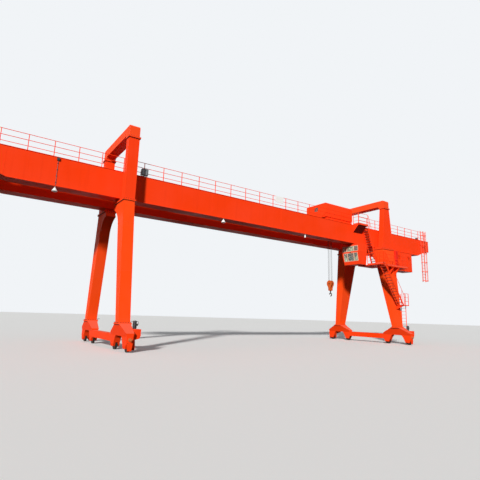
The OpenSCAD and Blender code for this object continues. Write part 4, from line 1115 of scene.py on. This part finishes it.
class CRANE_OT_travel_gear(bpy.types.Operator):
    """Bolt the axle caps, gear cases, guards and buffers, and wire the motors"""
    bl_idname = "crane.travel_gear"
    bl_label = "Finish the travel gear"

    def fit_bolts(self, small):
        """Bolts of the axle caps, gear cases, rail guards and buffers."""
        bolts = bmesh.new()
        for corner in CORNERS:
            # A gear case covers the outer wheel's cap on the +X side
            for place, ways in (("outer", (-1,)), ("inner", (-1, 1))):
                lo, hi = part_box(f"{corner}_{place}_wheel")
                axle = (lo + hi) / 2
                for way in ways:
                    cap = (axle.x + way * AXLE_CAP, axle.y, axle.z)
                    bolt_circle(bolts, cap, (way, 0, 0), 0.062, 4, small)
        for side in SIDES:
            drives = f"{side}_travel_drives"
            face = high(drives).x
            for outline in section(drives, (face - 0.004, 0, 0), (1, 0, 0)):
                flat = [Vector((face, p.y, p.z)) for p in outline]
                bolts_inside(bolts, flat, (1, 0, 0), small, 0.03, 0.13)
        inset = 0.04
        for lo, hi in solid_boxes("rail_guards"):
            way = outward(hi)
            face = lo.y if way < 0 else hi.y
            for x in (lo.x + inset, hi.x - inset):
                add_bolt(bolts, (x, face, hi.z - inset), (0, way, 0), small, small * NUT_HEIGHT)
        for lo, hi in solid_boxes("travel_buffers"):
            middle = (lo + hi) / 2
            way = outward(hi)
            face = (hi.y if way < 0 else lo.y) + way * 0.02
            bolt_circle(bolts, (middle.x, face, middle.z), (0, way, 0), 0.078, 4, 0.014)
        new_piece("travel_gear_bolts", bolts, "bolt")

    def execute(self, context):
        self.fit_bolts(context.scene.crane_steelwork.cover_bolt)
        mesh = bmesh.new()
        eye, bend, corner = 0.022, 0.05, 0.03
        for lo, hi in solid_boxes("travel_motors"):
            way = outward(hi)
            y = (lo.y + hi.y) / 2
            x = lo.x + (hi.y - lo.y) / 2
            ring = [(x + a, y, hi.z + eye + b) for a, b in ring_outline(eye, 16)]
            add_tube(mesh, ring, 0.005, 8, closed=True)
            # Cable from the terminal box to the foot of the leg
            leg_x = x + (-0.01 if x < 0 else -0.09)
            leg_y = way * LEG_CABLE_Y
            z0, z1 = lo.z + 0.2, lo.z + 0.36
            out = hi.x + 0.03
            far = out + 0.015
            line = [(hi.x - 0.01, y, z0), (out, y, z0), (far, y, z0 + corner), (far, y, z1 - corner),
                    (far, y - way * bend, z1), (far, leg_y + way * bend, z1), (out - 0.02, leg_y, z1),
                    (leg_x - 0.2, leg_y, z1)]
            add_tube(mesh, line, 0.009, 8)
        new_piece("motor_wiring", mesh, "rubber", smooth=True)
        return {"FINISHED"}


class CRANE_OT_lamps(bpy.types.Operator):
    """Glaze the floodlight, fit the bulbs and run the conduit to the first lamp"""
    bl_idname = "crane.lamps"
    bl_label = "Wire the lamps"

    def fit_floodlight(self):
        """Glass, window frames and carrying fork of the floodlight."""
        lo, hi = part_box("floodlight")
        glass = bmesh.new()
        frames = bmesh.new()
        middle = (lo.x + hi.x) / 2
        z0, z1 = hi.z - 0.36, hi.z - 0.02
        face = lo.y + 0.03
        for x0, x1 in ((lo.x + 0.04, middle - 0.012), (middle + 0.012, hi.x - 0.04)):
            pane = rectangle((x0, face, z0), (x1 - x0, 0, 0), (0, 0, z1 - z0))
            add_slab(glass, pane, (0, -0.006, 0))
            add_tube(frames, [p - Vector((0, 0.008, 0)) for p in pane], 0.008, 8, closed=True)
        new_piece("floodlight_glass", glass, "reflector")
        # Half of the fork that carries the housing, as a distance off its side and a height
        half_fork = ((0.012, z0 + 0.17), (0.012, lo.z + 0.08), (-0.03, lo.z + 0.05))
        fork = [(lo.x - off, FORK_Y, z) for off, z in half_fork]
        fork += [(hi.x + off, FORK_Y, z) for off, z in reversed(half_fork)]
        add_tube(frames, fork, 0.011, 8)
        new_piece("floodlight_frame", frames, "dark", smooth=True)

    def execute(self, context):
        work = context.scene.crane_steelwork
        lamps = solid_boxes("girder_lamps")
        bulbs = bmesh.new()
        for lo, hi in lamps:
            middle = (lo + hi) / 2
            r = (hi.x - lo.x) / 2
            add_lathe(bulbs, (middle.x, middle.y, lo.z), -UP, [(r * a, r * b) for a, b in BULB], 24)
        new_piece("lamp_bulbs", bulbs, "opal", smooth=True)

        # Conduit down the web to the first lamp, with its box and saddles
        lo, hi = lamps[0]
        x = (lo.x + hi.x) / 2
        web = -GIRDER_OUT + FLANGE_LIP
        y = web - work.conduit - 0.002
        mesh = bmesh.new()
        add_tube(mesh, [(x, y, GIRDER_TOP - 0.1), (x, y, GIRDER_BOTTOM + FLANGE)], work.conduit, 10)
        add_box(mesh, (x - 0.07, web - 0.07, GIRDER_TOP - 0.2), (x + 0.07, web, GIRDER_TOP - 0.05), 0.005)
        for z in spread(GIRDER_BOTTOM + 0.2, GIRDER_TOP - 0.35, 0.45):
            add_box(mesh, (x - 0.035, web - 0.026, z - 0.012), (x + 0.035, web, z + 0.012), 0.003)
        new_piece("lamp_conduit", mesh, "dark", smooth=True)
        self.fit_floodlight()
        return {"FINISHED"}


class CRANE_OT_ropes(bpy.types.Operator):
    """Reeve the stranded hoist ropes between the trolley and the hook block"""
    bl_idname = "crane.ropes"
    bl_label = "Reeve the ropes"

    def execute(self, context):
        work = context.scene.crane_steelwork
        falls = solid_boxes("hoist_ropes")
        mesh = bmesh.new()
        sides = work.strands * 4
        for lo, hi in falls:
            middle = (lo + hi) / 2
            radius = (hi.x - lo.x) / 2
            rings = []
            for z in spread(lo.z, hi.z, 0.025):
                turn = 2 * math.pi * (z - lo.z) / work.rope_lay
                rings.append([])
                for i in range(sides):
                    a = 2 * math.pi * i / sides
                    r = radius * (0.9 + 0.1 * math.cos(work.strands * a))
                    place = (middle.x + r * math.cos(a + turn), middle.y + r * math.sin(a + turn), z)
                    rings[-1].append(mesh.verts.new(place))
            join_rings(mesh, rings)
        ropes = new_piece("stranded_ropes", mesh, "rope", "hook_block_body", smooth=True)
        ropes.parent = None
        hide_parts("hoist_ropes")
        lo, hi = falls[0]
        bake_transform(ropes)
        return {"FINISHED"}


# The stage

def backdrop_mix(tree, seen, unseen):
    """Gives camera, mirror and glass rays one value and soft light another."""
    path = add_node(tree, "ShaderNodeLightPath")
    shown = path.outputs["Is Camera Ray"]
    for ray in ("Is Glossy Ray", "Is Transmission Ray"):
        shown = add_node(tree, "ShaderNodeMath", {0: shown, 1: path.outputs[ray]},
                         operation="MAXIMUM").outputs[0]
    inputs = {"Factor": shown, "A": unseen, "B": seen}
    return add_node(tree, "ShaderNodeMix", inputs, data_type="RGBA").outputs["Result"]


class CRANE_OT_stage(bpy.types.Operator):
    """Set the floor, the light and the camera"""
    bl_idname = "crane.stage"
    bl_label = "Set the stage"

    def add_floor(self, stage):
        """Pale floor that keeps the shadow and sends back little light."""
        mesh = bmesh.new()
        half = 400.0
        corners = rectangle((-half, -half, -0.002), (2 * half, 0, 0), (0, 2 * half, 0))
        mesh.faces.new([mesh.verts.new(corner) for corner in corners])
        material, tree = new_material("Pale screed floor")
        shade(tree, {
            "Base Color": backdrop_mix(tree, linear(stage.floor_hex), linear(stage.bounce_hex)),
            "Roughness": 0.95, "Specular IOR Level": 0.1})
        place_mesh("floor", mesh, material)

    def add_lights(self, scene, stage):
        """Soft fill from all round, and one key light."""
        world = bpy.data.worlds.new("Pale studio")
        world.use_nodes = True
        tree = world.node_tree
        tree.nodes.clear()
        fill = tuple(stage.fill_strength * c for c in linear(stage.fill_hex)[:3]) + (1.0,)
        colour = backdrop_mix(tree, linear(stage.backdrop_hex), fill)
        background = add_node(tree, "ShaderNodeBackground", {"Color": colour, "Strength": 1.0})
        add_node(tree, "ShaderNodeOutputWorld", {"Surface": background.outputs["Background"]})
        scene.world = world

        key = bpy.data.lights.new("key", "SUN")
        key.energy = stage.key_strength
        key.angle = stage.key_softness
        compass, height = stage.key_turn
        towards = Vector((-math.sin(compass) * math.cos(height), -math.cos(compass) * math.cos(height),
                          math.sin(height)))
        place_object("key", key).rotation_euler = towards.to_track_quat("Z", "Y").to_euler()

    def add_camera(self, scene, stage):
        """Camera at the photograph's place."""
        camera = bpy.data.cameras.new("camera")
        camera.lens = stage.lens
        camera.sensor_width = 36.0
        camera.clip_end = 2000.0
        scene.camera = place_object("camera", camera)
        pan, tilt, roll = stage.camera_turn
        ahead = Vector((math.sin(pan) * math.cos(tilt), math.cos(pan) * math.cos(tilt), math.sin(tilt)))
        right = Vector((math.cos(pan), -math.sin(pan), 0.0))
        up = right.cross(ahead)
        turned_right = right * math.cos(roll) + up * math.sin(roll)
        turned_up = up * math.cos(roll) - right * math.sin(roll)
        place = Matrix((turned_right, turned_up, -ahead)).transposed().to_4x4()
        place.translation = Vector(stage.camera_place)
        scene.camera.matrix_world = place

    def execute(self, context):
        scene = context.scene
        scene.view_settings.view_transform = "Standard"
        self.add_floor(scene.crane_stage)
        self.add_lights(scene, scene.crane_stage)
        self.add_camera(scene, scene.crane_stage)
        return {"FINISHED"}


class CRANE_PT_finish(bpy.types.Panel):
    """Lists the steps that dress the crane"""
    bl_label = "Gantry crane"
    bl_idname = "CRANE_PT_finish"
    bl_space_type = "VIEW_3D"
    bl_region_type = "UI"
    bl_category = "Gantry crane"

    def draw(self, context):
        for step in STEPS:
            self.layout.operator(step.bl_idname)
        for name, group in GROUPS.items():
            box = self.layout.box()
            for key in group.__annotations__:
                box.prop(getattr(context.scene, name), key)


STEPS = (CRANE_OT_paint, CRANE_OT_bolts, CRANE_OT_welds, CRANE_OT_rail_clips, CRANE_OT_walkways,
         CRANE_OT_cab, CRANE_OT_housings, CRANE_OT_hook_block, CRANE_OT_travel_gear, CRANE_OT_lamps,
         CRANE_OT_ropes, CRANE_OT_stage)
GROUPS = {"crane_paint": CRANE_PG_paint, "crane_steelwork": CRANE_PG_steelwork, "crane_stage": CRANE_PG_stage}


def register():
    for name, group in GROUPS.items():
        bpy.utils.register_class(group)
        setattr(bpy.types.Scene, name, PointerProperty(type=group))
    for step in STEPS:
        bpy.utils.register_class(step)
    bpy.utils.register_class(CRANE_PT_finish)


def unregister():
    bpy.utils.unregister_class(CRANE_PT_finish)
    for step in reversed(STEPS):
        bpy.utils.unregister_class(step)
    for name, group in reversed(GROUPS.items()):
        delattr(bpy.types.Scene, name)
        bpy.utils.unregister_class(group)


def main():
    register()
    for step in STEPS:
        family, action = step.bl_idname.split(".")
        getattr(getattr(bpy.ops, family), action)()


if __name__ == "__main__":
    main()
